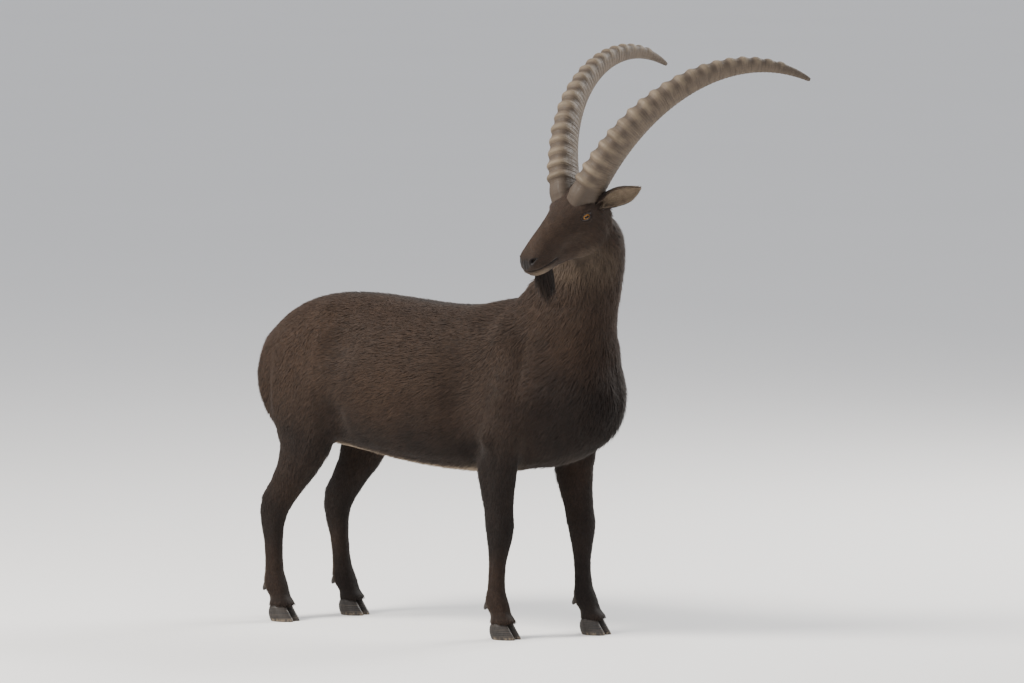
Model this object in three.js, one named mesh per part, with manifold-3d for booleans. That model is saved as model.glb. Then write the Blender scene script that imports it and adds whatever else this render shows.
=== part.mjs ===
// A male alpine ibex at life size, standing on its hooves, with its head turned back over its right shoulder.
// Millimetres, +Z up, +X the way the body faces, +Y the animal's left. The hooves stand on Z = 0.
import * as THREE from "three";
import { mergeVertices } from "three/addons/utils/BufferGeometryUtils.js";
import Module from "manifold-3d";

const wasm = await Module();
wasm.setup();

// Driving dimensions
const WITHERS_HEIGHT = 900;
const CHEST_FLOOR = 425;
const BARREL_HALF_WIDTH = 203;
const GAP = 0.35; // between parts that touch
const HORN_LENGTH = 765;
const HORN_ARC = 107; // degrees that the horn turns through, from root to tip
const HORN_RISE = 120; // degrees from the palate line to the horn's root
const HORN_SPLAY = [25, 10]; // degrees outwards, at the root and at the tip
const HORN_DEPTH = 92;
const HORN_WIDTH = 62;
const HORN_KNOBS = 19;
const KNOB_HEIGHT = 9;
const HEAD_TURN = -103; // degrees from the way the body faces
const HEAD_NOD = 20; // degrees that the palate slopes down to the nose
const HEAD_TILT = -2; // degrees
const EYES_PLACE = [520, -164, 1128]; // between the two eyes
const EYE_RADIUS = 15.5;
const LID_THICKNESS = 3;
const EYE_OPENING = [29, 17];
const EAR_LENGTH = 128;
const EAR_HALF_WIDTH = 30;
const TAIL_LENGTH = 150;
const HALF_TRACK = 113; // from the middle to each leg
const HOOF_LENGTH = 76;
const HOOF_HEIGHT = 44;
const TOE_HALF_WIDTH = 16.5;
const BEARD_LENGTH = 82;

const SEGMENTS = { trunk: 22, neck: 20, head: 26, leg: 12, horn: 10, tail: 8, toe: 10 };

const COAT = { color: 0x4a3527, roughness: 0.9, metalness: 0 };
const DARK_COAT = { color: 0x2a1e18, roughness: 0.9, metalness: 0 };
const HORN = { color: 0x7d7362, roughness: 0.65, metalness: 0 };
const HOOF = { color: 0x2b2724, roughness: 0.55, metalness: 0 };
const EYE = { color: 0xb07b2e, roughness: 0.1, metalness: 0 };

const lerp = THREE.MathUtils.lerp;
const radians = THREE.MathUtils.degToRad;
const vector = (x, y, z) => new THREE.Vector3(x, y, z);

// The value named key along the stations, as a smooth function of their "at".
function along(stations, key) {
  const at = stations.map((s) => s.at);
  const value = stations.map((s) => s[key]);
  const last = at.length - 1;
  const slope = at.map((_, i) => {
    const before = Math.max(0, i - 1);
    const after = Math.min(last, i + 1);
    return (value[after] - value[before]) / (at[after] - at[before]);
  });
  return (t) => {
    let i = 0;
    while (i < last - 1 && t > at[i + 1]) i += 1;
    const span = at[i + 1] - at[i];
    const u = THREE.MathUtils.clamp((t - at[i]) / span, 0, 1);
    const start = (1 + 2 * u) * (1 - u) ** 2 * value[i] + u * (1 - u) ** 2 * slope[i] * span;
    return start + u * u * (3 - 2 * u) * value[i + 1] + u * u * (u - 1) * slope[i + 1] * span;
  };
}

// A closed body through rings of points, each ring going round the same way, its two ends filled with fans.
function loft(rings) {
  const around = rings[0].length;
  const points = rings.flat();
  const triangles = [];
  for (let r = 0; r < rings.length - 1; r += 1) {
    for (let s = 0; s < around; s += 1) {
      const a = r * around + s;
      const b = r * around + ((s + 1) % around);
      triangles.push(a, b, b + around, a, b + around, a + around);
    }
  }
  for (const [ring, turn] of [[0, 1], [rings.length - 1, 0]]) {
    const middle = rings[ring].reduce((sum, p) => sum.add(p), vector(0, 0, 0)).divideScalar(around);
    const centre = points.push(middle) - 1;
    for (let s = 0; s < around; s += 1) {
      const pair = [ring * around + s, ring * around + ((s + 1) % around)];
      triangles.push(centre, pair[turn], pair[1 - turn]);
    }
  }
  const geometry = new THREE.BufferGeometry().setFromPoints(points);
  geometry.setIndex(triangles);
  return geometry;
}

// A three.js geometry as a solid.
function solidOf(geometry) {
  const bare = geometry.clone();
  bare.deleteAttribute("normal");
  bare.deleteAttribute("uv");
  const merged = mergeVertices(bare, 1e-3);
  const mesh = new wasm.Mesh({
    numProp: 3,
    vertProperties: new Float32Array(merged.attributes.position.array),
    triVerts: new Uint32Array(merged.index.array),
  });
  const solid = new wasm.Manifold(mesh);
  if (solid.volume() > 0) return solid;
  const triVerts = mesh.triVerts;
  for (let i = 0; i < triVerts.length; i += 3) {
    [triVerts[i + 1], triVerts[i + 2]] = [triVerts[i + 2], triVerts[i + 1]];
  }
  return new wasm.Manifold(new wasm.Mesh({ numProp: 3, vertProperties: mesh.vertProperties, triVerts }));
}

function geometryOf(solid) {
  const mesh = solid.getMesh();
  const position = new Float32Array(mesh.numVert * 3);
  for (let i = 0; i < mesh.numVert; i += 1) {
    position.set(mesh.vertProperties.subarray(i * mesh.numProp, i * mesh.numProp + 3), i * 3);
  }
  const geometry = new THREE.BufferGeometry();
  geometry.setAttribute("position", new THREE.BufferAttribute(position, 3));
  geometry.setIndex(new THREE.BufferAttribute(new Uint32Array(mesh.triVerts), 1));
  geometry.computeVertexNormals();
  return geometry;
}

const join = (solids) => solids.reduce((whole, s) => whole.add(s));
const bySize = (a, b) => b.volume() - a.volume();
const largest = (solid) => solid.decompose().sort(bySize)[0];

// A ring with its own reach up, down and to the sides. A power above 2 squares it.
function ring({ centre, side, up, wide, high, low, power = 2, count }) {
  return Array.from({ length: count }, (_, i) => {
    const angle = (2 * Math.PI * i) / count;
    const c = Math.cos(angle);
    const s = Math.sin(angle);
    const across = Math.sign(c) * Math.abs(c) ** (2 / power) * wide;
    const rise = Math.sign(s) * Math.abs(s) ** (2 / power) * (s > 0 ? high : low);
    return centre.clone().addScaledVector(side, across).addScaledVector(up, rise);
  });
}

// Evenly spaced steps from the first station to the last, closer together near both ends.
function steps(stations, count) {
  const first = stations[0].at;
  const last = stations[stations.length - 1].at;
  return Array.from({ length: count + 1 }, (_, i) => {
    const even = i / count;
    const eased = (1 - Math.cos(Math.PI * even)) / 2;
    return lerp(first, last, lerp(even, eased, 0.35));
  });
}

// Trunk, from the buttocks to the breast. The height of the greatest width is "level".
const TRUNK = [
  { at: -552, top: 712, bottom: 664, wide: 25, level: 690 },
  { at: -540, top: 758, bottom: 602, wide: 78, level: 686 },
  { at: -505, top: 806, bottom: 540, wide: 122, level: 684 },
  { at: -440, top: 852, bottom: 498, wide: 150, level: 680 },
  { at: -350, top: 880, bottom: 474, wide: 170, level: 670 },
  { at: -250, top: 886, bottom: 462, wide: 186, level: 655 },
  { at: -120, top: 878, bottom: 442, wide: BARREL_HALF_WIDTH - 3, level: 640 },
  { at: 20, top: 868, bottom: CHEST_FLOOR + 3, wide: BARREL_HALF_WIDTH, level: 635 },
  { at: 130, top: 872, bottom: CHEST_FLOOR, wide: 190, level: 640 },
  { at: 215, top: 892, bottom: CHEST_FLOOR + 3, wide: 172, level: 645 },
  { at: 290, top: WITHERS_HEIGHT, bottom: CHEST_FLOOR + 15, wide: 158, level: 650 },
  { at: 380, top: 880, bottom: 454, wide: 146, level: 650 },
  { at: 455, top: 834, bottom: 484, wide: 128, level: 648 },
  { at: 516, top: 762, bottom: 526, wide: 96, level: 642 },
  { at: 553, top: 704, bottom: 574, wide: 54, level: 636 },
  { at: 565, top: 664, bottom: 610, wide: 20, level: 636 },
];

function trunk(extra) {
  const [top, bottom, wide, level] = ["top", "bottom", "wide", "level"].map((key) => along(TRUNK, key));
  const rings = steps(TRUNK, 22).map((x) =>
    ring({
      centre: vector(x, 0, level(x)),
      side: vector(0, 1, 0),
      up: vector(0, 0, 1),
      wide: wide(x) + extra,
      high: top(x) - level(x) + extra,
      low: level(x) - bottom(x) + extra,
      power: 2.25,
      count: SEGMENTS.trunk,
    }),
  );
  return loft(rings);
}

// Neck, from inside the chest to inside the skull. "fore" and "aft" reach to the throat and the nape,
// and "face" is the way that the throat looks, in degrees from +X.
const NECK = [
  { at: 0, x: 322, y: 0, z: 668, fore: 185, aft: 150, wide: 118, face: 0 },
  { at: 1, x: 356, y: 0, z: 752, fore: 184, aft: 168, wide: 130, face: 0 },
  { at: 2, x: 400, y: -2, z: 838, fore: 156, aft: 154, wide: 117, face: -5 },
  { at: 3, x: 444, y: -8, z: 912, fore: 126, aft: 128, wide: 103, face: -20 },
  { at: 4, x: 484, y: -22, z: 980, fore: 109, aft: 110, wide: 93, face: -42 },
  { at: 5, x: 512, y: -44, z: 1038, fore: 95, aft: 92, wide: 84, face: -64 },
  { at: 6, x: 529, y: -72, z: 1084, fore: 78, aft: 68, wide: 70, face: -84 },
  { at: 7, x: 533, y: -100, z: 1112, fore: 48, aft: 40, wide: 46, face: -98 },
];

function neck(extra) {
  const keys = ["x", "y", "z", "fore", "aft", "wide", "face"];
  const [x, y, z, fore, aft, wide, face] = keys.map((key) => along(NECK, key));
  const spine = (t) => vector(x(t), y(t), z(t));
  const rings = steps(NECK, 16).map((t) => {
    const way = spine(t + 0.05).sub(spine(t - 0.05)).normalize();
    const look = radians(face(t));
    const front = vector(Math.cos(look), Math.sin(look), 0);
    front.addScaledVector(way, -front.dot(way)).normalize();
    const side = vector(0, 0, 0).crossVectors(way, front);
    return ring({
      centre: spine(t),
      side,
      up: front,
      wide: wide(t) + extra,
      high: fore(t) + extra,
      low: aft(t) + extra,
      count: SEGMENTS.neck,
    });
  });
  return loft(rings);
}

// Legs, from inside the trunk down to the hoof's coronet. "long" and "wide" are half thicknesses, fore
// and aft and to the sides, and "out" is the distance from the leg's own track.
const FORELEG = [
  { at: 0, x: -8, z: 822, long: 52, wide: 30, out: -32 },
  { at: 1, x: 2, z: 760, long: 98, wide: 48, out: -20 },
  { at: 2, x: 26, z: 670, long: 118, wide: 58, out: 2 },
  { at: 3, x: 18, z: 580, long: 100, wide: 57, out: 9 },
  { at: 4, x: -6, z: 500, long: 74, wide: 50, out: 4 },
  { at: 5, x: -12, z: 425, long: 56, wide: 43, out: 0 },
  { at: 6, x: -6, z: 350, long: 43, wide: 36, out: 0 },
  { at: 7, x: 0, z: 288, long: 40, wide: 36, out: 0 },
  { at: 8, x: 0, z: 248, long: 33, wide: 31, out: 0 },
  { at: 9, x: -4, z: 190, long: 25, wide: 23, out: 0 },
  { at: 10, x: -5, z: 130, long: 26, wide: 25, out: 0 },
  { at: 11, x: -2, z: 96, long: 33, wide: 31, out: 0 },
  { at: 12, x: 12, z: 66, long: 28, wide: 31, out: 0 },
  { at: 13, x: 26, z: 40, long: 30, wide: 31, out: 0 },
];
const HIND_LEG = [
  { at: 0, x: 70, z: 840, long: 50, wide: 28, out: -52 },
  { at: 1, x: 44, z: 785, long: 112, wide: 54, out: -34 },
  { at: 2, x: 12, z: 700, long: 152, wide: 74, out: -10 },
  { at: 3, x: 22, z: 610, long: 146, wide: 75, out: 2 },
  { at: 4, x: 46, z: 530, long: 112, wide: 63, out: 8 },
  { at: 5, x: 32, z: 450, long: 74, wide: 49, out: 4 },
  { at: 6, x: -10, z: 378, long: 53, wide: 40, out: 0 },
  { at: 7, x: -50, z: 318, long: 48, wide: 36, out: 0 },
  { at: 8, x: -60, z: 268, long: 37, wide: 30, out: 0 },
  { at: 9, x: -54, z: 200, long: 27, wide: 25, out: 0 },
  { at: 10, x: -48, z: 135, long: 28, wide: 26, out: 0 },
  { at: 11, x: -42, z: 100, long: 34, wide: 32, out: 0 },
  { at: 12, x: -26, z: 68, long: 29, wide: 31, out: 0 },
  { at: 13, x: -11, z: 40, long: 30, wide: 31, out: 0 },
];

// Each leg's side (+1 is the left), its hip or shoulder, and how far in front of that the hoof stands.
const LEGS = {
  front_right: { form: FORELEG, side: -1, root: 272, stride: -26 },
  front_left: { form: FORELEG, side: 1, root: 330, stride: 52 },
  hind_right: { form: HIND_LEG, side: -1, root: -395, stride: -42 },
  hind_left: { form: HIND_LEG, side: 1, root: -385, stride: 18 },
};

// How far a point of the leg at this height is carried forward by the stride.
const strideAt = (leg, z) => leg.stride * (1 - THREE.MathUtils.clamp(z / 700, 0, 1));

function legPlace(leg, station) {
  const x = leg.root + station.x + strideAt(leg, station.z);
  return vector(x, leg.side * (HALF_TRACK + station.out), station.z);
}

function limb(leg, extra) {
  const [x, z, long, wide, out] = ["x", "z", "long", "wide", "out"].map((key) => along(leg.form, key));
  const bone = (t) => legPlace(leg, { x: x(t), z: z(t), out: out(t) });
  const rings = steps(leg.form, 23).map((t) => {
    const way = bone(t + 0.05).sub(bone(t - 0.05)).normalize().lerp(vector(0, 0, -1), 0.65).normalize();
    const side = vector(0, 1, 0).addScaledVector(way, -way.y).normalize();
    const front = vector(0, 0, 0).crossVectors(side, way);
    return ring({
      centre: bone(t).addScaledVector(way, t === 0 ? -extra : 0),
      side,
      up: front,
      wide: wide(t) + extra,
      high: long(t) + extra,
      low: long(t) + extra,
      count: SEGMENTS.leg,
    });
  });
  return loft(rings);
}

// One toe of a cloven hoof: a wedge with a flat sole, its tip turned a little inwards. "inward" is +1 or -1.
const TOE = [
  { at: 0, z: 0, back: 0.0, front: 1.0, wide: 1.0 },
  { at: 1, z: 0.12, back: -0.01, front: 0.985, wide: 1.02 },
  { at: 2, z: 0.5, back: -0.01, front: 0.83, wide: 0.97 },
  { at: 3, z: 0.85, back: 0.0, front: 0.69, wide: 0.9 },
  { at: 4, z: 1.0, back: 0.05, front: 0.6, wide: 0.72 },
];

function toe(heel, inward) {
  const rings = TOE.map((level) => {
    const back = level.back * HOOF_LENGTH;
    const front = level.front * HOOF_LENGTH;
    const half = (front - back) / 2;
    return Array.from({ length: SEGMENTS.toe }, (_, i) => {
      const angle = (2 * Math.PI * i) / SEGMENTS.toe;
      const forward = Math.cos(angle);
      const pinch = 1 - 0.35 * Math.max(0, forward) ** 2;
      const across = Math.sign(Math.sin(angle)) * Math.abs(Math.sin(angle)) ** 0.8 * pinch;
      const turn = inward * 4 * Math.max(0, forward) ** 2;
      return vector(
        heel.x + back + half * (1 + forward),
        heel.y + TOE_HALF_WIDTH * level.wide * across + turn,
        level.z * HOOF_HEIGHT,
      );
    });
  });
  return loft(rings);
}

// A dewclaw: a short cone behind the fetlock that points down and back.
function dewclaw(place, side) {
  const cone = new THREE.CylinderGeometry(9, 5, 30, 6);
  cone.scale(1, 1, 0.85);
  cone.rotateY(radians(-side * 12));
  cone.rotateX(Math.PI / 2);
  cone.rotateY(radians(32));
  return cone.translate(place.x, place.y, place.z);
}

// Head, in its own frame: +X along the palate to the nose, +Y left, +Z up, its origin between the eyes.
const HEAD = [
  { at: -104, top: 22, bottom: -58, wide: 38, level: -20 },
  { at: -96, top: 44, bottom: -84, wide: 54, level: -16 },
  { at: -74, top: 62, bottom: -106, wide: 63, level: -10 },
  { at: -45, top: 72, bottom: -118, wide: 66, level: -6 },
  { at: -15, top: 66, bottom: -121, wide: 65, level: 0 },
  { at: 10, top: 55, bottom: -116, wide: 60, level: -2 },
  { at: 40, top: 40, bottom: -109, wide: 50, level: -14 },
  { at: 75, top: 24, bottom: -104, wide: 42, level: -32 },
  { at: 110, top: 8, bottom: -103, wide: 38.5, level: -46 },
  { at: 140, top: -7, bottom: -104, wide: 39, level: -56 },
  { at: 163, top: -20, bottom: -102, wide: 37, level: -62 },
  { at: 180, top: -34, bottom: -95, wide: 30, level: -66 },
  { at: 190, top: -47, bottom: -86, wide: 20, level: -68 },
  { at: 194, top: -58, bottom: -77, wide: 9, level: -68 },
];

// Swellings and hollows of the head, each mirrored: where, how far they reach, how far they stand out.
const HEAD_FORMS = [
  { at: [-6, 58, 24], reach: [26, 22, 13], out: 7 }, // brow
  { at: [22, 52, -2], reach: [18, 18, 14], out: -5 }, // in front of the eye
  { at: [-4, 62, -30], reach: [34, 24, 13], out: 4 }, // cheekbone
  { at: [-44, 60, -66], reach: [34, 30, 38], out: 5 }, // chewing muscle
  { at: [48, 46, -62], reach: [34, 24, 24], out: -4 }, // hollow of the cheek
  { at: [168, 26, -44], reach: [16, 14, 13], out: 5 }, // nostril's wing
  { at: [150, 36, -71], reach: [34, 16, 9], out: 3.5 }, // upper lip
  { at: [140, 34, -94], reach: [26, 16, 9], out: 2.5 }, // lower lip
  { at: [72, 0, 26], reach: [40, 18, 22], out: 2.5 }, // bridge of the nose
];

const headMatrix = new THREE.Matrix4()
  .makeRotationZ(radians(HEAD_TURN))
  .multiply(new THREE.Matrix4().makeRotationY(radians(HEAD_NOD)))
  .multiply(new THREE.Matrix4().makeRotationX(radians(HEAD_TILT)))
  .setPosition(...EYES_PLACE);

function swell(point, middle) {
  const outward = point.clone().sub(middle).normalize();
  let sum = 0;
  for (const form of HEAD_FORMS) {
    for (const side of [1, -1]) {
      const away = [point.x, point.y * side, point.z].map((v, i) => (v - form.at[i]) / form.reach[i]);
      sum += form.out * Math.exp(-(away[0] ** 2 + away[1] ** 2 + away[2] ** 2)) * (form.at[1] ? 1 : 0.5);
    }
  }
  return point.addScaledVector(outward, sum);
}

function skull(extra) {
  const [top, bottom, wide, level] = ["top", "bottom", "wide", "level"].map((key) => along(HEAD, key));
  const rings = steps(HEAD, 28).map((x) => {
    const centre = vector(x, 0, level(x));
    return ring({
      centre,
      side: vector(0, 1, 0),
      up: vector(0, 0, 1),
      wide: wide(x) + extra,
      high: top(x) - level(x) + extra,
      low: level(x) - bottom(x) + extra,
      power: 2.2,
      count: SEGMENTS.head,
    }).map((point) => swell(point, centre));
  });
  return loft(rings);
}

// Where the eyeball sits and the way it looks, in the head's frame.
const eyePlace = (side) => vector(0, side * 49.5, 0);
const eyeWay = (side) => vector(0.34, side * 0.92, 0.1).normalize();

function eyeball(side, extra) {
  const ball = new THREE.SphereGeometry(EYE_RADIUS + extra, 14, 9);
  const place = eyePlace(side);
  return ball.translate(place.x, place.y, place.z);
}

// The almond between the lids, as a prism that runs out from the middle of the eye.
function lidOpening(side) {
  const [width, height] = EYE_OPENING;
  const almond = new THREE.Shape();
  almond.moveTo(-width / 2, -2);
  almond.quadraticCurveTo(-2, height, width / 2, 1);
  almond.quadraticCurveTo(0, -height * 0.85, -width / 2, -2);
  const prism = new THREE.ExtrudeGeometry(almond, { depth: 40, bevelEnabled: false, curveSegments: 5 });
  const way = eyeWay(side);
  const across = vector(0, 0, 1).cross(way).normalize();
  const frame = new THREE.Matrix4().makeBasis(across, vector(0, 0, 0).crossVectors(way, across), way);
  frame.setPosition(eyePlace(side));
  return prism.applyMatrix4(frame);
}

// The line of the mouth on one side, as a thin wedge sunk into the lips.
function mouthLine(side) {
  const [wide, level, bottom] = ["wide", "level", "bottom"].map((key) => along(HEAD, key));
  const rings = Array.from({ length: 11 }, (_, i) => {
    const t = i / 10;
    const x = lerp(104, 193.5, t);
    const z = lerp(-73, -79, t) + 3 * Math.sin(Math.PI * t);
    const drop = Math.min(0.98, (level(x) - z) / (level(x) - bottom(x)));
    const y = side * wide(x) * (1 - drop ** 2.2) ** (1 / 2.2);
    const depth = 3 + 8 * t;
    const open = 1.4 + 0.6 * t;
    return [
      vector(x, y + side * 8, z + open),
      vector(x, y - side * depth, z),
      vector(x, y + side * 8, z - open),
    ];
  });
  return loft(rings);
}

// A nostril: a slanting slit that widens to the front.
function nostril(side) {
  const round = new THREE.SphereGeometry(1, 10, 8).scale(11, 5.2, 5);
  round.rotateY(radians(34));
  round.rotateZ(radians(side * -42));
  return round.translate(183, side * 24.5, -50);
}

// The horn's middle line at each stop, in the head's frame. A stop is 0 at the root and 1 at the tip.
function hornLine(side, stops) {
  const count = 400;
  const line = [];
  const place = vector(-32, side * 35, 40);
  for (let i = 0; i <= count; i += 1) {
    const s = i / count;
    const turn = radians(HORN_RISE + HORN_ARC * (0.9 * s + 0.1 * s * s));
    const splay = radians(lerp(...HORN_SPLAY, s));
    const way = vector(Math.cos(turn), side * Math.tan(splay), Math.sin(turn)).normalize();
    const out = vector(0, side, 0).addScaledVector(way, -side * way.y).normalize();
    const front = vector(0, 0, 0).crossVectors(out, way).multiplyScalar(side);
    line.push({ s, place: place.clone(), way, out, front });
    place.addScaledVector(way, (HORN_LENGTH + 20) / count);
  }
  return stops.map((s) => line[Math.round(s * count)]);
}

// Knobs crowd together towards the tip. Each rises steeply, has a blunt top and falls away more slowly.
const KNOB_PHASES = [
  { phase: 0, rise: 0 },
  { phase: 0.36, rise: 1 },
  { phase: 0.62, rise: 0.8 },
];

function horn(side, extra) {
  const spans = HORN_KNOBS + 3;
  const stops = Array.from({ length: spans * 3 + 1 }, (_, i) => {
    const knob = Math.floor(i / 3);
    const { phase, rise } = KNOB_PHASES[i % 3];
    return { s: ((knob + phase) / spans) ** 1.08, rise: knob < 1 || knob > HORN_KNOBS ? 0 : rise };
  });
  const line = hornLine(side, stops.map((stop) => stop.s));
  const rings = line.map(({ s, place, way, out, front }, index) => {
    const taper = (1 - s) ** 0.72;
    const half = (HORN_DEPTH / 2) * (0.1 + 0.9 * taper) + extra;
    const wide = (HORN_WIDTH / 2) * (0.12 + 0.88 * taper) + extra;
    const knob = stops[index].rise * KNOB_HEIGHT * (1 - 0.7 * s);
    const start = place.clone().addScaledVector(way, s === 0 ? -extra : 0);
    return Array.from({ length: SEGMENTS.horn }, (_, i) => {
      const angle = (2 * Math.PI * (i + 0.5)) / SEGMENTS.horn;
      const c = Math.cos(angle);
      const forward = Math.sin(angle);
      const narrow = forward > 0 ? 1 : 1 + 0.16 * forward;
      const across = Math.sign(c) * Math.abs(c) ** 0.72 * (wide + 0.15 * knob) * narrow;
      const reach = Math.sign(forward) * Math.abs(forward) ** (forward > 0 ? 0.62 : 0.9);
      return start
        .clone()
        .addScaledVector(out, across)
        .addScaledVector(front, reach * half + Math.max(0, reach) * knob);
    });
  });
  return loft(rings);
}

// An ear: a cup, rolled nearly shut at its root and open towards its pointed tip.
const EAR = [
  { at: 0, wide: 0.62, roll: 150, thick: 7 },
  { at: 0.15, wide: 0.68, roll: 132, thick: 6 },
  { at: 0.35, wide: 0.86, roll: 100, thick: 5 },
  { at: 0.6, wide: 0.92, roll: 84, thick: 4.2 },
  { at: 0.82, wide: 0.62, roll: 74, thick: 3.6 },
  { at: 0.95, wide: 0.28, roll: 66, thick: 3 },
  { at: 1, wide: 0.08, roll: 60, thick: 2.4 },
];

function ear(side) {
  const [wide, roll, thick] = ["wide", "roll", "thick"].map((key) => along(EAR, key));
  const root = vector(-66, side * 50, 22);
  const way = vector(-0.3, side * 0.9, 0.2).normalize();
  const back = vector(-0.86, side * -0.26, 0.38);
  back.addScaledVector(way, -back.dot(way)).normalize();
  const up = vector(0, 0, 0).crossVectors(back, way).multiplyScalar(side);
  const half = 6;
  const rings = Array.from({ length: 9 }, (_, i) => {
    const t = i / 8;
    const opening = radians(roll(t));
    const radius = (EAR_HALF_WIDTH * wide(t)) / Math.sin(Math.min(opening, Math.PI / 2));
    const bow = 10 * Math.sin(Math.PI * t);
    const centre = root.clone().addScaledVector(way, EAR_LENGTH * t).addScaledVector(back, bow - radius);
    const at = (angle, r) =>
      centre.clone().addScaledVector(back, r * Math.cos(angle)).addScaledVector(up, r * Math.sin(angle));
    const outer = Array.from({ length: half + 1 }, (_, k) => at(lerp(-opening, opening, k / half), radius));
    const inner = Array.from({ length: half + 1 }, (_, k) =>
      at(lerp(opening, -opening, k / half) * 0.97, Math.max(radius * 0.2, radius - thick(t))),
    );
    return [...outer, ...inner];
  });
  return loft(rings);
}

// A flat, tapered lock of hair that bends away from its first way.
function lock({ root, way, length, wide, thick, flat, bend }) {
  const count = 3;
  const place = root.clone();
  const rings = [];
  for (let i = 0; i <= count; i += 1) {
    const t = i / count;
    const heading = way.clone().addScaledVector(bend, t).normalize();
    const across = flat.clone().addScaledVector(heading, -flat.dot(heading)).normalize();
    const through = vector(0, 0, 0).crossVectors(heading, across);
    const taper = Math.max(0.14, 1 - t ** 1.5);
    rings.push(
      ring({
        centre: place.clone(),
        side: across,
        up: through,
        wide: wide * taper,
        high: thick * taper,
        low: thick * taper,
        count: 5,
      }),
    );
    place.addScaledVector(heading, length / count);
  }
  return loft(rings);
}

// A repeatable draw of numbers from 0 to 1.
function draws(seed) {
  let state = seed;
  return () => {
    state = (state * 1664525 + 1013904223) % 4294967296;
    return state / 4294967296;
  };
}

const headPoint = (x, y, z) => vector(x, y, z).applyMatrix4(headMatrix);
const headWay = (x, y, z) => headPoint(x, y, z).sub(headPoint(0, 0, 0)).normalize();

// The beard hangs straight down from the chin: a tapered middle under rows of locks, so many in each.
const BEARD_ROWS = [9, 7, 4];

function beard() {
  const draw = draws(7);
  const chin = headPoint(132, 0, -84);
  const fore = headWay(1, 0, 0).setZ(0).normalize();
  const side = headWay(0, 1, 0).setZ(0).normalize();
  const form = [
    { down: 0, long: 27, wide: 15 },
    { down: 0.4, long: 22, wide: 13 },
    { down: 0.7, long: 15, wide: 9 },
    { down: 0.92, long: 6, wide: 4 },
  ];
  const middle = form.map(({ down, long, wide }) =>
    ring({
      centre: chin.clone().add(vector(0, 0, -down * BEARD_LENGTH)).addScaledVector(fore, -9 * down),
      side,
      up: fore,
      wide,
      high: long,
      low: long,
      count: 8,
    }),
  );
  const locks = [];
  for (const [row, count] of BEARD_ROWS.entries()) {
    for (let i = 0; i < count; i += 1) {
      const angle = (2 * Math.PI * (i + 0.5 * row + 0.3 * draw())) / count;
      const reach = fore.clone().multiplyScalar(Math.cos(angle) * (23 - 4 * row));
      reach.addScaledVector(side, Math.sin(angle) * (12 - 2 * row));
      const root = chin.clone().add(reach).add(vector(0, 0, -12 - 14 * row));
      const flat = vector(0, 0, 1).cross(reach).normalize();
      const way = reach.normalize().multiplyScalar(0.2 - 0.12 * draw()).add(vector(0, 0, -1)).normalize();
      const length = (BEARD_LENGTH - 8 * row) * (0.76 + 0.3 * draw());
      const bend = fore.clone().multiplyScalar(-0.14 - 0.1 * draw());
      bend.addScaledVector(side, 0.12 * (draw() - 0.5));
      locks.push(solidOf(lock({ root, way, length, wide: 10.5, thick: 4, flat, bend })));
    }
  }
  return join([solidOf(loft(middle)), ...locks]);
}

// The tail: a short flat root, and a fringe of locks along it and past its end.
const TAIL_ROOT = vector(-494, 0, 794);
const TAIL_WAY = vector(-0.6, 0, -0.8);
const TAIL = [
  { at: 0, wide: 32, high: 22 },
  { at: 0.35, wide: 28, high: 17 },
  { at: 0.75, wide: 21, high: 11 },
  { at: 1, wide: 8, high: 5 },
];

function tail() {
  const draw = draws(11);
  const flat = vector(0, 1, 0);
  const up = vector(0, 0, 0).crossVectors(flat, TAIL_WAY).normalize();
  const [wide, high] = ["wide", "high"].map((key) => along(TAIL, key));
  const rings = Array.from({ length: 7 }, (_, i) => {
    const t = i / 6;
    return ring({
      centre: TAIL_ROOT.clone().addScaledVector(TAIL_WAY, t * TAIL_LENGTH * 0.8),
      side: flat,
      up,
      wide: wide(t),
      high: high(t),
      low: high(t),
      count: SEGMENTS.tail,
    });
  });
  const locks = Array.from({ length: 10 }, (_, i) => {
    const column = (i % 5) - 2;
    const from = 0.38 + 0.22 * Math.floor(i / 5) + 0.08 * draw();
    const root = TAIL_ROOT.clone().addScaledVector(TAIL_WAY, from * TAIL_LENGTH);
    root.addScaledVector(flat, column * 8);
    const way = TAIL_WAY.clone().addScaledVector(flat, column * 0.09 + (draw() - 0.5) * 0.1);
    way.addScaledVector(up, (draw() - 0.5) * 0.16).normalize();
    const length = TAIL_LENGTH * (1.12 - from) - Math.abs(column) * 9;
    return solidOf(lock({ root, way, length, wide: 9, thick: 4.5, flat, bend: vector(0, 0, -0.3) }));
  });
  return join([solidOf(loft(rings)), ...locks]);
}

// All that lies ahead of a plane through a place, less half of the gap.
function ahead(place, way) {
  const size = 2000;
  const box = new THREE.BoxGeometry(size, size, size).translate(0, 0, size / 2 + GAP / 2);
  const turn = new THREE.Quaternion().setFromUnitVectors(vector(0, 0, 1), way.clone().normalize());
  return solidOf(box.applyQuaternion(turn).translate(place.x, place.y, place.z));
}
const halves = (solid, place, way) => [
  largest(solid.intersect(ahead(place, way))),
  largest(solid.intersect(ahead(place, way.clone().negate()))),
];

const ibex = new THREE.Group();
function addPart(name, solid, finish) {
  const mesh = new THREE.Mesh(geometryOf(solid), new THREE.MeshStandardMaterial(finish));
  mesh.name = name;
  ibex.add(mesh);
}
const inWorld = (geometry) => solidOf(geometry.applyMatrix4(headMatrix));
const sides = { left: 1, right: -1 };

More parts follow.
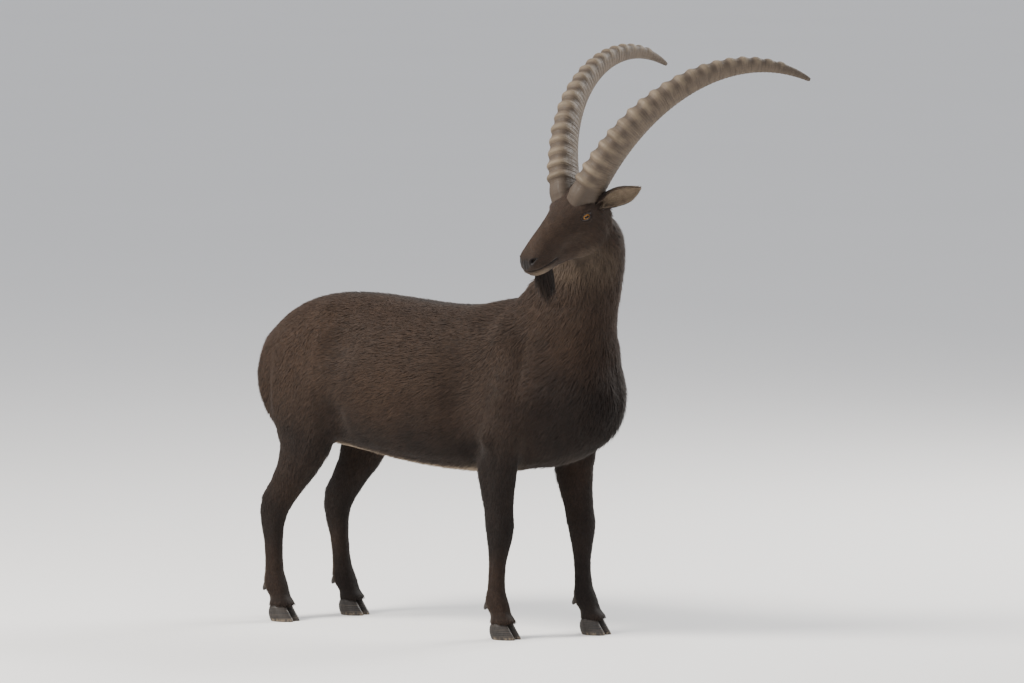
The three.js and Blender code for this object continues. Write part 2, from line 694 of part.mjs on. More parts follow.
// The head, with the rooms for its eyes and horns
let skullAndNeck = inWorld(skull(0)).add(solidOf(neck(0)));
for (const side of Object.values(sides)) {
  skullAndNeck = skullAndNeck
    .add(inWorld(eyeball(side, LID_THICKNESS)))
    .subtract(inWorld(lidOpening(side)))
    .subtract(inWorld(eyeball(side, GAP)))
    .subtract(inWorld(mouthLine(side)))
    .subtract(inWorld(nostril(side)))
    .subtract(inWorld(horn(side, GAP)));
}
const [head, headless] = halves(skullAndNeck, headPoint(-74, 0, -66), headWay(0.7, 0, 0.72));
const limbRooms = join(Object.values(LEGS).map((leg) => solidOf(limb(leg, GAP))));
const whole = headless.add(solidOf(trunk(0)));
const [neckPart, body] = halves(whole, vector(398, 0, 806), vector(0.62, 0, 0.78));
addPart("head", head, COAT);
addPart("neck", largest(neckPart.subtract(limbRooms)), COAT);
addPart("torso", largest(body.subtract(limbRooms)), COAT);
addPart("tail", largest(tail().subtract(solidOf(trunk(GAP)))), DARK_COAT);
const headRooms = inWorld(skull(GAP)).add(solidOf(neck(GAP)));
addPart("beard", largest(beard().subtract(headRooms)), DARK_COAT);
for (const [name, side] of Object.entries(sides)) {
  const earPart = inWorld(ear(side)).subtract(headRooms).subtract(inWorld(horn(side, GAP)));
  addPart(`ear_${name}`, largest(earPart), COAT);
  addPart(`horn_${name}`, inWorld(horn(side, 0)), HORN);
  addPart(`eye_${name}`, inWorld(eyeball(side, 0)), EYE);
}

// Each leg in two parts, over two toes and in front of two dewclaws
const KNEE = 7; // the station of the knee, and of the hock
const FETLOCK = 11;
const upwards = vector(0, 0, 1);
for (const [name, leg] of Object.entries(LEGS)) {
  const [upper, shin] = halves(solidOf(limb(leg, 0)), legPlace(leg, leg.form[KNEE]), upwards);
  const room = solidOf(limb(leg, GAP));
  addPart(`leg_${name}_upper`, upper, COAT);
  addPart(`leg_${name}_lower`, halves(shin, vector(0, 0, HOOF_HEIGHT + GAP), upwards)[0], DARK_COAT);
  const coronet = legPlace(leg, leg.form[leg.form.length - 1]);
  const fetlock = legPlace(leg, leg.form[FETLOCK]);
  for (const [toeName, inward] of [["inner", 1], ["outer", -1]]) {
    const towards = -leg.side * inward;
    const heel = vector(coronet.x - 36, coronet.y + towards * (TOE_HALF_WIDTH + 1.5), 0);
    addPart(`hoof_${name}_${toeName}`, solidOf(toe(heel, -towards)), HOOF);
    const claw = dewclaw(vector(fetlock.x - 33, fetlock.y + towards * 15, fetlock.z - 8), towards);
    addPart(`dewclaw_${name}_${toeName}`, largest(solidOf(claw).subtract(room)), HOOF);
  }
}

// The middle of the whole model's box comes over the origin
const middle = new THREE.Box3().setFromObject(ibex).getCenter(vector(0, 0, 0));
for (const mesh of ibex.children) mesh.geometry.translate(-middle.x, -middle.y, 0);

export default ibex;
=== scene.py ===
"""Looks for a life-size alpine ibex: its skin, coat, beard, horns, eyes and hooves, on a plain pale floor."""

import math

import bmesh
import bpy
import numpy as np
from bpy.props import FloatProperty, FloatVectorProperty, IntProperty, PointerProperty
from mathutils import Matrix, Vector
from mathutils.kdtree import KDTree


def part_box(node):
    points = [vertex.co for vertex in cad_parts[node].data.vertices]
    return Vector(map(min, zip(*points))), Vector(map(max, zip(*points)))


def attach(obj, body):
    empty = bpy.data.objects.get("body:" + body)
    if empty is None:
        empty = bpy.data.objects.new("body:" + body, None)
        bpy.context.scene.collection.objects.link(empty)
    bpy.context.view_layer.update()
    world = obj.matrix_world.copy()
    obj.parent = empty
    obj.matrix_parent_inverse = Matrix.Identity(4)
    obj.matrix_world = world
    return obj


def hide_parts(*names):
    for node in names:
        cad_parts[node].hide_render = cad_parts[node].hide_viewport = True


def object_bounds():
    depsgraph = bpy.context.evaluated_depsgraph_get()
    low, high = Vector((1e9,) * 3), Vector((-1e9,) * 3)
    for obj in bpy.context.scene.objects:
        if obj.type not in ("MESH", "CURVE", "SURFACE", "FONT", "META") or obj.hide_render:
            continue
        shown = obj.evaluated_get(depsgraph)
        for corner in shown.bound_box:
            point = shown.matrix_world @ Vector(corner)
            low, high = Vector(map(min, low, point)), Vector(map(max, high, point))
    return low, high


bl_info = {
    "name": "Alpine Ibex",
    "version": (1, 0, 0),
    "blender": (4, 5, 0),
    "location": "3D View > Sidebar > Ibex",
    "description": "Builds the skin, coat, horns, eyes and hooves of a life-size ibex",
    "category": "Object",
}

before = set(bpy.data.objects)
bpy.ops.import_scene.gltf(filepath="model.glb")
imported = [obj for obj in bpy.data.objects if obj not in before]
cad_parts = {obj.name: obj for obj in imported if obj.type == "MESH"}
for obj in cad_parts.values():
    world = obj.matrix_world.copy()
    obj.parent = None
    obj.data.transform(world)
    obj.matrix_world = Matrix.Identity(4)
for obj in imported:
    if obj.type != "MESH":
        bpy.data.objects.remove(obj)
CAD_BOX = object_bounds()

MM = 0.001
ACROSS = np.array([0, 1.0, 0])
SIDES = {"left": 1, "right": -1}
LEGS = ("front_left", "front_right", "hind_left", "hind_right")
TOES = ("inner", "outer")

# Sizes that are shared with the solids, in millimetres and degrees
EYES_PLACE = (520, -164, 1128)
HEAD_TURN, HEAD_NOD, HEAD_TILT = -103, 20, -2
EYE_RADIUS, EYE_OUT = 15.5, 49.5
HORN_LENGTH, HORN_ARC, HORN_RISE, HORN_SPLAY = 785, 107, 120, (25, 10)
HORN_ROOT, HORN_DEPTH, HORN_WIDTH, HORN_KNOBS, KNOB_HEIGHT = (-32, 35, 40), 92, 62, 19, 9
HOOF_LENGTH, HOOF_HEIGHT, TOE_HALF_WIDTH = 76, 44, 16.5
EAR_ROOT, EAR_LENGTH, EAR_HALF_WIDTH = (-66, 50, 22), 128, 30
TAIL_ROOT, TAIL_WAY, TAIL_LENGTH = (-494, 0, 794), (-0.6, 0, -0.8), 150

# Sizes of the looks alone, in millimetres where nothing else is said
HEAD_FLOOR = 0.9  # the head lies above this height, in metres
EYE_PLUG, HORN_PLUG, NOSTRIL_PLUG = 18, 26, 12  # the balls that fill rooms in the solids
HORN_ROWS, HORN_AROUND, HORN_SUNK, HORN_SUNK_ROWS = 520, 52, 26, 12
GROWTH_LINES = ((0.9, 131, 0.3), (0.95, 61, 0.35))  # how they crowd, how many and how high
EAR_ROWS, EAR_AROUND = 40, 23
LID_HALF_LENGTH, UPPER_LID, LOWER_LID, LASHES = 15.0, 8.2, 6.4, 46
NOSTRIL, CHIN = (182.5, 24, -49.5), (131, 0, -88)
MOUTH_CORNER, MOUTH_LENGTH, MOUTH_HEIGHT = 104, 89.5, -73
OVERLAP = 0.6  # by which each solid of flesh is grown
PULL, PUSH = 0.55, 0.56  # the shares of a step when a mesh is smoothed
COAT_DEPTH, LESS_ON_FACE, LESS_ON_LEGS, LEAST_DEPTH = 8.5, 6.5, 5.5, 1.5
MOST_BARE = 0.35  # no tufts grow where more of the skin shows
LENGTH_SPREAD, WIDTH_SPREAD = (0.72, 1.2), (0.75, 1.2)  # shares of a tuft's usual size
LIFT_SPREAD = (8, 22)  # degrees
PATCH = 0.003  # the side of a tuft's patch on the unwrap
TUFTS_A_PIECE = 33000


def tone(code):
    """A colour as Blender holds it, from its usual six-digit code."""
    shares = [int(code[i : i + 2], 16) / 255 for i in (0, 2, 4)]
    return tuple(s / 12.92 if s <= 0.04045 else ((s + 0.055) / 1.055) ** 2.4 for s in shares)


def unit(vectors):
    return vectors / np.maximum(np.linalg.norm(vectors, axis=-1, keepdims=True), 1e-12)


def smooth(value, low, high):
    share = np.clip((value - low) / (high - low), 0, 1)
    return share * share * (3 - 2 * share)


def bell(*shares):
    """1 where all shares are 0, and next to nothing where one is past 2."""
    return np.exp(-sum(share**2 for share in shares))


def box(node):
    """The low and the high corner of a node's box."""
    return [np.array(corner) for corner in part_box(node)]


def box_middle(*nodes):
    low, high = zip(*(box(node) for node in nodes))
    return (np.min(low, axis=0) + np.max(high, axis=0)) / 2


def spin(axis, degrees):
    return np.array(Matrix.Rotation(math.radians(degrees), 3, axis))


# The head's frame: +X along the palate to the nose, +Y left, +Z up, its origin between the eyes
HEAD_AXES = spin("Z", HEAD_TURN) @ spin("Y", HEAD_NOD) @ spin("X", HEAD_TILT)
EYES = box_middle("eye_left", "eye_right")
SHIFT = EYES - np.array(EYES_PLACE) * MM


def head_way(x, y, z):
    return HEAD_AXES @ np.array([x, y, z], float)


def head_place(x, y, z):
    """A place in metres, from millimetres in the head's frame."""
    return EYES + head_way(x, y, z) * MM


def head_world(points):
    return EYES + points @ HEAD_AXES.T * MM


def head_local(points):
    return (points - EYES) @ HEAD_AXES / MM


def body_place(x, y, z):
    return SHIFT + np.array([x, y, z], float) * MM


def body_local(points):
    return (points - SHIFT) / MM


# Shapes
def along(table):
    """A smooth function through a table's rows. The first column says where each row stands."""
    table = np.array(table, float)
    at, rows = table[:, 0], table[:, 1:]
    last = len(at) - 1
    before = np.maximum(np.arange(last + 1) - 1, 0)
    after = np.minimum(np.arange(last + 1) + 1, last)
    slope = (rows[after] - rows[before]) / (at[after] - at[before])[:, None]

    def value(t):
        t = np.atleast_1d(np.asarray(t, float))
        i = np.clip(np.searchsorted(at, t) - 1, 0, last - 1)
        span = (at[i + 1] - at[i])[:, None]
        u = np.clip((t[:, None] - at[i][:, None]) / span, 0, 1)
        start = (1 + 2 * u) * (1 - u) ** 2 * rows[i] + u * (1 - u) ** 2 * slope[i] * span
        return start + u * u * (3 - 2 * u) * rows[i + 1] + u * u * (u - 1) * slope[i + 1] * span

    return value


def loft(rings, closed=True):
    """Triangles over rings of points, which all go round the same way, with a fan on each end."""
    rows, around = rings.shape[:2]
    points = rings.reshape(-1, 3)
    first = np.arange(around)
    after = (first + 1) % around
    starts = np.arange(rows - 1)[:, None] * around
    a, b = (starts + first).ravel(), (starts + after).ravel()
    faces = [np.stack([a, b, b + around], 1), np.stack([a, b + around, a + around], 1)]
    if closed:
        points = np.vstack([points, rings[0].mean(0), rings[-1].mean(0)])
        end = (rows - 1) * around
        faces.append(np.stack([np.full(around, rows * around), after, first], 1))
        faces.append(np.stack([np.full(around, rows * around + 1), end + first, end + after], 1))
    faces = np.vstack(faces)
    corner = points[faces]
    volume = np.einsum("ij,ij->i", corner[:, 0], np.cross(corner[:, 1], corner[:, 2])).sum()
    return points, faces if volume > 0 else faces[:, ::-1]


def circle(count):
    """Cosines and sines of angles that go evenly round."""
    turn = np.linspace(0, 2 * math.pi, count, endpoint=False)
    return np.cos(turn), np.sin(turn)


def rings_round(centres, first, second, count):
    """Rings of points round a line. Two vectors a ring reach from its centre to its sides."""
    c, s = circle(count)
    return centres[:, None] + c[:, None] * first[:, None] + s[:, None] * second[:, None]


def ball(centre, radii, axes=np.eye(3), around=32, rows=20):
    tilt = np.linspace(0, math.pi, rows + 2)[1:-1, None]
    c, s = circle(around)
    shell = np.stack([np.sin(tilt) * c, np.sin(tilt) * s, np.cos(tilt) + 0 * c], 2)
    return loft(np.asarray(centre) + (shell * np.asarray(radii)) @ axes.T)


def together(parts):
    """One set of points and triangles from several."""
    points, faces = zip(*parts)
    starts = np.cumsum([0, *map(len, points)])
    return np.vstack(points), np.vstack([some + start for some, start in zip(faces, starts)])


def normals_of(points, faces):
    corner = points[faces]
    cross = np.cross(corner[:, 2] - corner[:, 0], corner[:, 3 % faces.shape[1]] - corner[:, 1])
    total = np.zeros_like(points)
    for axis in range(3):
        weights = np.repeat(cross[:, axis], faces.shape[1])
        total[:, axis] = np.bincount(faces.ravel(), weights, len(points))
    return unit(total)


def edges_of(faces):
    pairs = np.vstack([faces[:, [i, (i + 1) % faces.shape[1]]] for i in range(faces.shape[1])])
    return np.unique(np.sort(pairs, 1), axis=0)


def relax(points, edges, rounds, share=None, push=PUSH):
    """Smooths a mesh. Each round pulls every point in and then pushes it out, so that nothing shrinks."""
    count = len(points)
    degree = np.maximum(np.bincount(edges.ravel(), minlength=count), 1)[:, None]
    share = np.ones((count, 1)) if share is None else share[:, None]
    for step in range(rounds * 2 if push else rounds):
        mean = np.empty_like(points)
        for axis in range(3):
            mean[:, axis] = np.bincount(edges[:, 0], points[edges[:, 1], axis], count)
            mean[:, axis] += np.bincount(edges[:, 1], points[edges[:, 0], axis], count)
        pull = -push if push and step % 2 else PULL
        points = points + pull * share * (mean / degree - points)
    return points


# Meshes and objects
def read(items, key, width=1, kind=float):
    """One value or row for each of a mesh's items."""
    values = np.empty(len(items) * width, kind)
    items.foreach_get(key, values)
    return values if width == 1 else values.reshape(-1, width)


def mesh_arrays(mesh):
    """Points and triangles of a mesh."""
    mesh.calc_loop_triangles()
    return read(mesh.vertices, "co", 3), read(mesh.loop_triangles, "vertices", 3, np.int32)


def new_mesh(name, points, faces):
    mesh = bpy.data.meshes.new(name)
    mesh.vertices.add(len(points))
    mesh.vertices.foreach_set("co", np.ascontiguousarray(points, np.float32).ravel())
    mesh.loops.add(faces.size)
    mesh.loops.foreach_set("vertex_index", np.ascontiguousarray(faces, np.int32).ravel())
    mesh.polygons.add(len(faces))
    starts = np.arange(0, faces.size, faces.shape[1], dtype=np.int32)
    mesh.polygons.foreach_set("loop_start", starts)
    mesh.update(calc_edges=True)
    mesh.shade_smooth()
    return mesh


def new_object(name, data):
    made = bpy.data.objects.new(name, data)
    bpy.context.scene.collection.objects.link(made)
    return made


def new_piece(name, points, faces, material, slot, replaces=(), **values):
    """A mesh object that rides on the body, with one value a point for each name in values."""
    mesh = new_mesh(name, points, faces)
    for key, value in values.items():
        attribute = mesh.attributes.new(key, "FLOAT", "POINT")
        attribute.data.foreach_set("value", np.ascontiguousarray(value, np.float32))
    mesh.materials.append(material)
    piece = new_object(name, mesh)
    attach(piece, "root")
    if replaces:
        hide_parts(*replaces)
    return piece


# Materials
class Value:
    """An output of a material's nodes. Python's operators on it add Math nodes."""

    def __init__(self, shader, output):
        self.shader = shader
        self.output = output

    def math(self, operation, *values):
        return self.shader.node("ShaderNodeMath", {"operation": operation}, dict(enumerate(values)))

    def __add__(self, other):
        return self.math("ADD", self, other)

    def __sub__(self, other):
        return self.math("SUBTRACT", self, other)

    def __rsub__(self, other):
        return self.math("SUBTRACT", other, self)

    def __mul__(self, other):
        return self.math("MULTIPLY", self, other)

    def __pow__(self, other):
        return self.math("POWER", self, other)

    __radd__ = __add__
    __rmul__ = __mul__

    def ramp(self, low, high, start=0, end=1):
        """Rises smoothly from start to end while the value goes from low to high."""
        settings = {"interpolation_type": "SMOOTHSTEP"}
        inputs = {"Value": self, "From Min": low, "From Max": high, "To Min": start, "To Max": end}
        return self.shader.node("ShaderNodeMapRange", settings, inputs)


class Shader:
    """A material, with one method that adds any node."""

    def __init__(self, name, **constants):
        self.material = bpy.data.materials.new(name)
        self.material.use_nodes = True
        self.tree = self.material.node_tree
        self.surface = self.tree.nodes["Principled BSDF"]
        for key, value in constants.items():
            self.surface.inputs[key.replace("_", " ")].default_value = value

    def node(self, kind, settings=(), inputs=(), output=0):
        node = self.tree.nodes.new(kind)
        for key, value in dict(settings).items():
            setattr(node, key, value)
        for key, value in dict(inputs).items():
            self.feed(node.inputs[key], value)
        return Value(self, node.outputs[output])

    def feed(self, socket, value):
        if isinstance(value, Value):
            self.tree.links.new(value.output, socket)
        else:
            socket.default_value = (*value, 1) if socket.type == "RGBA" and len(value) == 3 else value

    def attribute(self, name):
        return self.node("ShaderNodeAttribute", {"attribute_name": name}, output="Fac")

    def vector(self, x, y, z):
        return self.node("ShaderNodeCombineXYZ", (), {"X": x, "Y": y, "Z": z})

    def noise_at(self, place, scale, detail):
        return self.node("ShaderNodeTexNoise", (), {"Vector": place, "Scale": scale, "Detail": detail})

    def noise(self, scale, detail=2.0, stretch=(1, 1, 1)):
        place = self.node("ShaderNodeTexCoord", output="Object")
        settings = {"vector_type": "POINT"}
        place = self.node("ShaderNodeMapping", settings, {"Vector": place, "Scale": stretch})
        return self.noise_at(place, scale, detail)

    def mix(self, factor, first, second, blend="MIX"):
        settings = {"data_type": "RGBA", "blend_type": blend}
        return self.node("ShaderNodeMix", settings, {0: factor, 6: first, 7: second}, output=2)

    def layers(self, colour, *over):
        """A colour with others laid over it, each by its share."""
        for share, other in over:
            colour = self.mix(share, colour, other)
        return colour

    def bump(self, height, distance, strength=1.0):
        inputs = {"Height": height, "Distance": distance, "Strength": strength}
        return self.node("ShaderNodeBump", (), inputs)

    def finish(self, colour, roughness=None, normal=None):
        for socket, value in (("Base Color", colour), ("Roughness", roughness), ("Normal", normal)):
            if value is not None:
                self.feed(self.surface.inputs[socket], value)
        return self.material


# Lie of the coat. Each line of hair runs near a stretch of the body: from where, to where, the way that
# the hair points, how far the surface lies from the line, the hair's length and a tuft's width.
HEAD_LINES = (
    ((196, 0, -66), (150, 0, -62), (-1, 0, 0.05), 26, 3.6, 1.2),
    ((150, 0, -58), (70, 0, -40), (-1, 0, -0.15), 36, 5.5, 1.4),
    ((60, 0, -30), (0, 0, -8), (-1, 0, -0.1), 54, 7.5, 1.7),
    ((20, 0, -70), (-70, 0, -80), (-0.9, 0, -0.5), 50, 12, 2.3),
    ((-20, 0, 30), (-95, 0, 6), (-1, 0, -0.1), 50, 15, 2.5),
)
BODY_LINES = (
    ("neck", (528, -84, 1095), (484, -22, 980), (-0.22, 0.4, -1), 88, 31, 2.9),
    ("neck", (484, -22, 980), (400, -2, 838), (-0.3, 0.1, -1), 112, 35, 3.2),
    ("neck", (400, -2, 838), (340, 0, 720), (-0.5, 0, -0.9), 140, 34, 3.4),
    ("trunk", (470, 0, 640), (330, 0, 560), (-0.5, 0, -1), 110, 36, 3.5),
    ("trunk", (330, 0, 760), (120, 0, 730), (-1, 0, -0.25), 150, 29, 3.3),
    ("trunk", (120, 0, 730), (-280, 0, 730), (-1, 0, -0.2), 160, 27, 3.1),
    ("trunk", (250, 0, 570), (-250, 0, 590), (-1, 0, -0.55), 150, 30, 3.3),
    ("trunk", (-300, 0, 720), (-520, 0, 700), (-0.9, 0, -0.8), 130, 26, 3.1),
    ("trunk", TAIL_ROOT, (-570, 0, 700), TAIL_WAY, 24, 33, 3.3),
)


def coat_lines():
    lines = []
    for start, end, way, *sizes in HEAD_LINES:
        lines.append(("head", head_place(*start), head_place(*end), head_way(*way), *sizes))
    for group, start, end, *rest in BODY_LINES:
        lines.append((group, body_place(*start), body_place(*end), *rest))
    for leg in LEGS:
        group = leg.split("_")[0]
        thigh, shin = box_middle(f"leg_{leg}_upper"), box_middle(f"leg_{leg}_lower")
        hip, knee = (box(f"leg_{leg}_{half}")[1][2] for half in ("upper", "lower"))
        stops = [(*thigh[:2], hip - 0.1), (*thigh[:2], 0.54), (*shin[:2], knee + 0.02), (*shin[:2], 0.11)]
        stops = np.array([*stops, box_middle(f"hoof_{leg}_inner", f"hoof_{leg}_outer")])
        hair = (
            ((-0.35, 0, -1), 110 if group == "hind" else 80, 19, 3.6),
            ((-0.12, 0, -1), 55, 14, 2.8),
            ((-0.04, 0, -1), 30, 8.5, 2),
            ((0.25, 0, -1), 31, 11, 2.2),
        )
        lines += [(group, *ends, *rest) for *ends, rest in zip(stops, stops[1:], hair)]
    return lines


def coat_lie(points):
    """At each point: the group of the nearest line, and the way, length and width of the hair."""
    weights, ways, sizes, groups = [], [], [], []
    for group, start, end, way, reach, length, width in coat_lines():
        run = end - start
        share = np.clip((points - start) @ run / (run @ run), 0, 1)
        away = np.linalg.norm(points - start - share[:, None] * run, axis=1)
        weights.append((0.15 + away / (reach * MM)) ** -5)
        ways.append(unit(np.array(way, float)))
        sizes.append((length * MM, width * MM))
        groups.append(group)
    weights = np.array(weights)
    strongest = np.array(groups)[weights.argmax(0)]
    weights /= weights.sum(0)
    ways, (length, width) = unit(weights.T @ np.array(ways)), np.array(sizes).T @ weights
    local = head_local(points)
    for side in SIDES.values():
        away = smooth(np.linalg.norm(local - eye_frame(side)[0], axis=1), 14, 46)
        length *= (away * 0.62 + 0.38) * (smooth(nostril_field(local, side), 1.2, 4) * 0.5 + 0.5)
        width *= away * 0.4 + 0.6
        root, up_horn, out, front = (rows[0] for rows in horn_line(side, np.array([0.0])))
        ring = np.hypot((local - root) @ front / HORN_DEPTH * 2, (local - root) @ out / HORN_WIDTH * 2)
        collar = smooth(ring, 1.5, 1.15) * smooth(local[:, 2], -20, 10)
        rise = unit(HEAD_AXES @ up_horn)
        ways = unit(ways * (1 - collar[:, None]) + 1.6 * rise * collar[:, None])
        length += collar * (15 * MM - length)
        on_ear = (local[:, 1] * side > 66) & (local[:, 2] > -10) & (points[:, 2] > 1.0)
        ways[on_ear] = head_way(*ear_way(side))
        length[on_ear], width[on_ear] = 8 * MM, 1.6 * MM
    return strongest, unit(ways), length, width


# Markings. Each is a share from 0 to 1, by place and by the way that the surface looks.
def markings(points, normals):
    x, y, z = body_local(points).T
    hx, hy, hz = head_local(points).T
    on_head = smooth(hx, -110, -60) * smooth(z, 900, 1000)
    leg = smooth(z, 520, 330)
    under = smooth(-normals[:, 2], 0.45, 0.95) * smooth(z, 620, 520) * (1 - smooth(np.abs(y), 50, 120))
    under *= 1 - 0.85 * smooth(x, 180, 330)
    rump = bell((x + 545) / 45, y / 46, (z - 690) / 70)
    lips = bell((hx - 165) / 40, (hz + 92) / 16) * on_head
    jaw = smooth(-hz, 50, 110) * smooth(hx, 130, 20) * on_head
    throat = bell((hx + 60) / 60, (hz + 130) / 60) * (z > 850)
    shank = leg * smooth(-normals[:, 0], 0.1, 0.8) * smooth(z, 300, 180)
    pale = 0.75 * under + 0.7 * rump + 0.45 * lips + np.maximum(0.25 * jaw, 0.22 * throat) + 0.3 * shank
    stripe = bell(y / 24) * smooth(normals[:, 2], 0.5, 0.9) * smooth(z, 760, 840) * smooth(x, 400, 250)
    chest = smooth(x, 220, 480) * smooth(z, 960, 740) * (1 - on_head)
    nape = smooth(z, 840, 960) * (1 - on_head) * 0.2
    side = smooth(z, 820, 560) * (1 - on_head)
    nose = bell((hx - 192) / 16, hy / 26, (hz + 52) / 20) * on_head
    brow = bell((hx - 4) / 26, (np.abs(hy) - 60) / 22, (hz - 2) / 20)
    low_flank = bell((z - 500) / 60) * smooth(np.abs(y), 60, 140) * smooth(x, 360, 250)
    dark = leg * 0.85 + 0.7 * stripe + 0.55 * chest + nape + 0.7 * nose + 0.35 * brow
    dark += 0.35 * low_flank + 0.3 * side
    return {"dark": np.clip(dark, 0, 1), "pale": np.clip(pale, 0, 1) * (1 - 0.5 * nose)}


def coat_material(name, with_tufts):
    settings = bpy.context.scene.ibex
    shader = Shader(name, Sheen_Weight=0.06, Sheen_Roughness=0.5, Specular_IOR_Level=0.2)
    patches, fine, bare = shader.noise(9, 4), shader.noise(160, 3), shader.attribute("bare")
    colour = shader.layers(
        settings.coat_colour,
        ((shader.attribute("dark") + patches * 0.5 - 0.25).ramp(0.02, 0.98), settings.dark_colour),
        ((shader.attribute("pale") + patches * 0.3 - 0.15).ramp(0.05, 0.9), settings.pale_colour),
        (shader.noise(3, 2).ramp(0.42, 0.7) * 0.35, settings.warm_colour),
        (bare, settings.bare_colour),
    )
    light = 0.62 + fine * 0.35
    if with_tufts:
        # Painted shade: each tuft is darker towards its root, where shade falls among the tufts. Its tone
        # also varies at random from tuft to tuft.
        light = light * (0.52 + 0.66 * shader.attribute("tip")) * (0.68 + 0.68 * shader.attribute("tone"))
        rough, normal = fine.ramp(0.3, 0.7, 0.7, 0.88), None
    else:
        light, rough = light * 0.62, 0.85 - 0.3 * bare
        normal = shader.bump(shader.noise(420, 2, (1, 1, 0.35)) * (1 - 0.85 * bare), 0.0012, 0.8)
    grey = shader.node("ShaderNodeCombineColor", (), {"Red": light, "Green": light, "Blue": light})
    return shader.finish(shader.mix(1.0, colour, grey, "MULTIPLY"), rough, normal)


# Skin
FLESH = ["torso", "neck", "head"] + [f"leg_{leg}_{half}" for leg in LEGS for half in ("upper", "lower")]

# Swellings and hollows under the coat, mirrored: where, how far they reach, how far they stand out
BODY_FORMS = [
    ((285, 115, 800), (30, 60, 70), 9),  # shoulder blade
    ((235, 125, 860), (26, 60, 40), -8),  # behind the withers
    ((182, 190, 650), (48, 70, 110), -17),  # behind the shoulder
    ((348, 150, 745), (18, 60, 80), -13),  # in front of the shoulder blade
    ((300, 170, 640), (34, 60, 50), 9),  # upper arm
    ((252, 165, 540), (26, 50, 30), 11),  # elbow
    ((400, 130, 640), (32, 60, 40), 10),  # point of the shoulder
    ((205, 150, 500), (30, 60, 24), -10),  # behind the elbow
    ((-300, 130, 855), (32, 45, 24), 11),  # hip
    ((-222, 180, 765), (54, 70, 56), -29),  # hollow of the flank
    ((-300, 190, 640), (34, 60, 46), 8),  # front of the thigh
    ((-238, 150, 565), (34, 60, 44), -20),  # fold before the knee
    ((-415, 165, 760), (40, 60, 50), 7),  # rump
    ((-520, 75, 740), (26, 36, 40), 8),  # seat
    ((-462, 150, 640), (16, 60, 80), -13),  # groove of the thigh
    ((-330, 165, 745), (24, 60, 50), -8),  # in front of the rump's muscle
    ((-520, 0, 620), (40, 16, 90), -12),  # cleft between the thighs
    ((0, 200, 650), (150, 60, 60), 5),  # ribs
    ((525, 0, 760), (42, 60, 46), 10),  # root of the neck
    ((490, 80, 760), (50, 50, 46), 9),  # its sides
    ((560, 0, 650), (50, 13, 80), -7),  # cleft of the breast
    ((450, 105, 940), (60, 14, 110), -5),  # groove of the neck
]

# The same on the head, in the head's own frame
HEAD_FORMS = [
    ((9, 54, 21), (22, 14, 8), 6.5),  # brow
    ((37, 40, -8), (15, 14, 11), -4),  # hollow before the eye
    ((24, 50, -26), (30, 12, 6), 5),  # cheekbone
    ((-24, 44, -50), (28, 16, 24), 6),  # cheek
    ((-64, 46, -46), (9, 22, 26), -6),  # behind the jaw
    ((-33, 52, 12), (12, 14, 11), -5),  # temple
    ((72, 36, -60), (26, 14, 14), -5.5),  # before the cheek
    ((120, 26, -36), (36, 12, 8), -2.6),  # side of the nose
    ((120, 13, -12), (44, 7, 12), 1.6),  # edge of the nose's bridge
    ((178, 21, -42), (11, 9, 7), 3),  # wing of the nostril
    ((168, 24, -66), (18, 11, 8), 3),  # upper lip
    ((172, 0, -98), (14, 14, 8), 2),  # chin
]

# The same on the legs: forward of the leg's middle line, outwards from it, and height
FOOT_FORMS = [
    ((14, 0, 112), (9, 14, 16), 3),  # front of the fetlock
    ((-20, 0, 108), (8, 14, 13), 4),  # back of the fetlock
    ((22, 0, 66), (12, 5, 16), -3.5),  # cleft between the toes
]
FORELEG_FORMS = [
    ((24, 0, 305), (12, 20, 22), 4),  # knee
    ((-26, 0, 322), (8, 12, 13), 5.5),  # bone behind the knee
    ((-6, 17, 200), (5, 8, 66), -4),  # groove before the tendon
    ((-4, 27, 440), (6, 14, 60), -5),  # groove of the forearm
    ((12, 24, 440), (12, 14, 60), 3.5),  # muscle of the forearm
    *FOOT_FORMS,
]
HINDLEG_FORMS = [
    ((-32, 0, 352), (9, 11, 18), 6),  # point of the hock
    ((-15, 15, 405), (9, 12, 36), -9),  # hollow before its tendon
    ((20, 0, 318), (10, 18, 26), 3.5),  # front of the hock
    ((-6, 17, 210), (5, 8, 62), -4),  # groove before the tendon
    *FOOT_FORMS,
]

# Half width and half height along the tail
TAIL_FORM = along([(0, 32, 22), (0.35, 28, 17), (0.75, 21, 11), (1, 8, 5)])

# Width, half opening in degrees and thickness along an ear
EAR_FORM = along(
    [(0, 0.62, 150, 7), (0.15, 0.68, 132, 6), (0.35, 0.86, 100, 5), (0.6, 0.92, 84, 4.2)]
    + [(0.82, 0.62, 74, 3.6), (0.95, 0.28, 66, 3), (1, 0.08, 60, 2.4)]
)


def plugs():
    """Balls that fill the rooms for eyes, horns and nostrils and round each leg off over its toes."""
    balls = []
    for side in SIDES.values():
        balls.append(ball(head_place(0, side * 45, 0), [EYE_PLUG * MM] * 3))
        places, *_, fronts = horn_line(side, np.array([0.0, 0.02, 0.05]))
        for place, front in zip(places, fronts):
            for offset in (-18, 0, 18):
                balls.append(ball(head_place(*(place + front * offset)), [HORN_PLUG * MM] * 3))
        balls.append(ball(head_place(177, side * 18, -52), [NOSTRIL_PLUG * MM] * 3))
    for node in (f"hoof_{leg}_{which}" for leg in LEGS for which in TOES):
        low, high = box(node)
        balls.append(ball((low[0] + 0.027, (low[1] + high[1]) / 2, 0.047), (0.025, 0.0155, 0.0115)))
    return balls


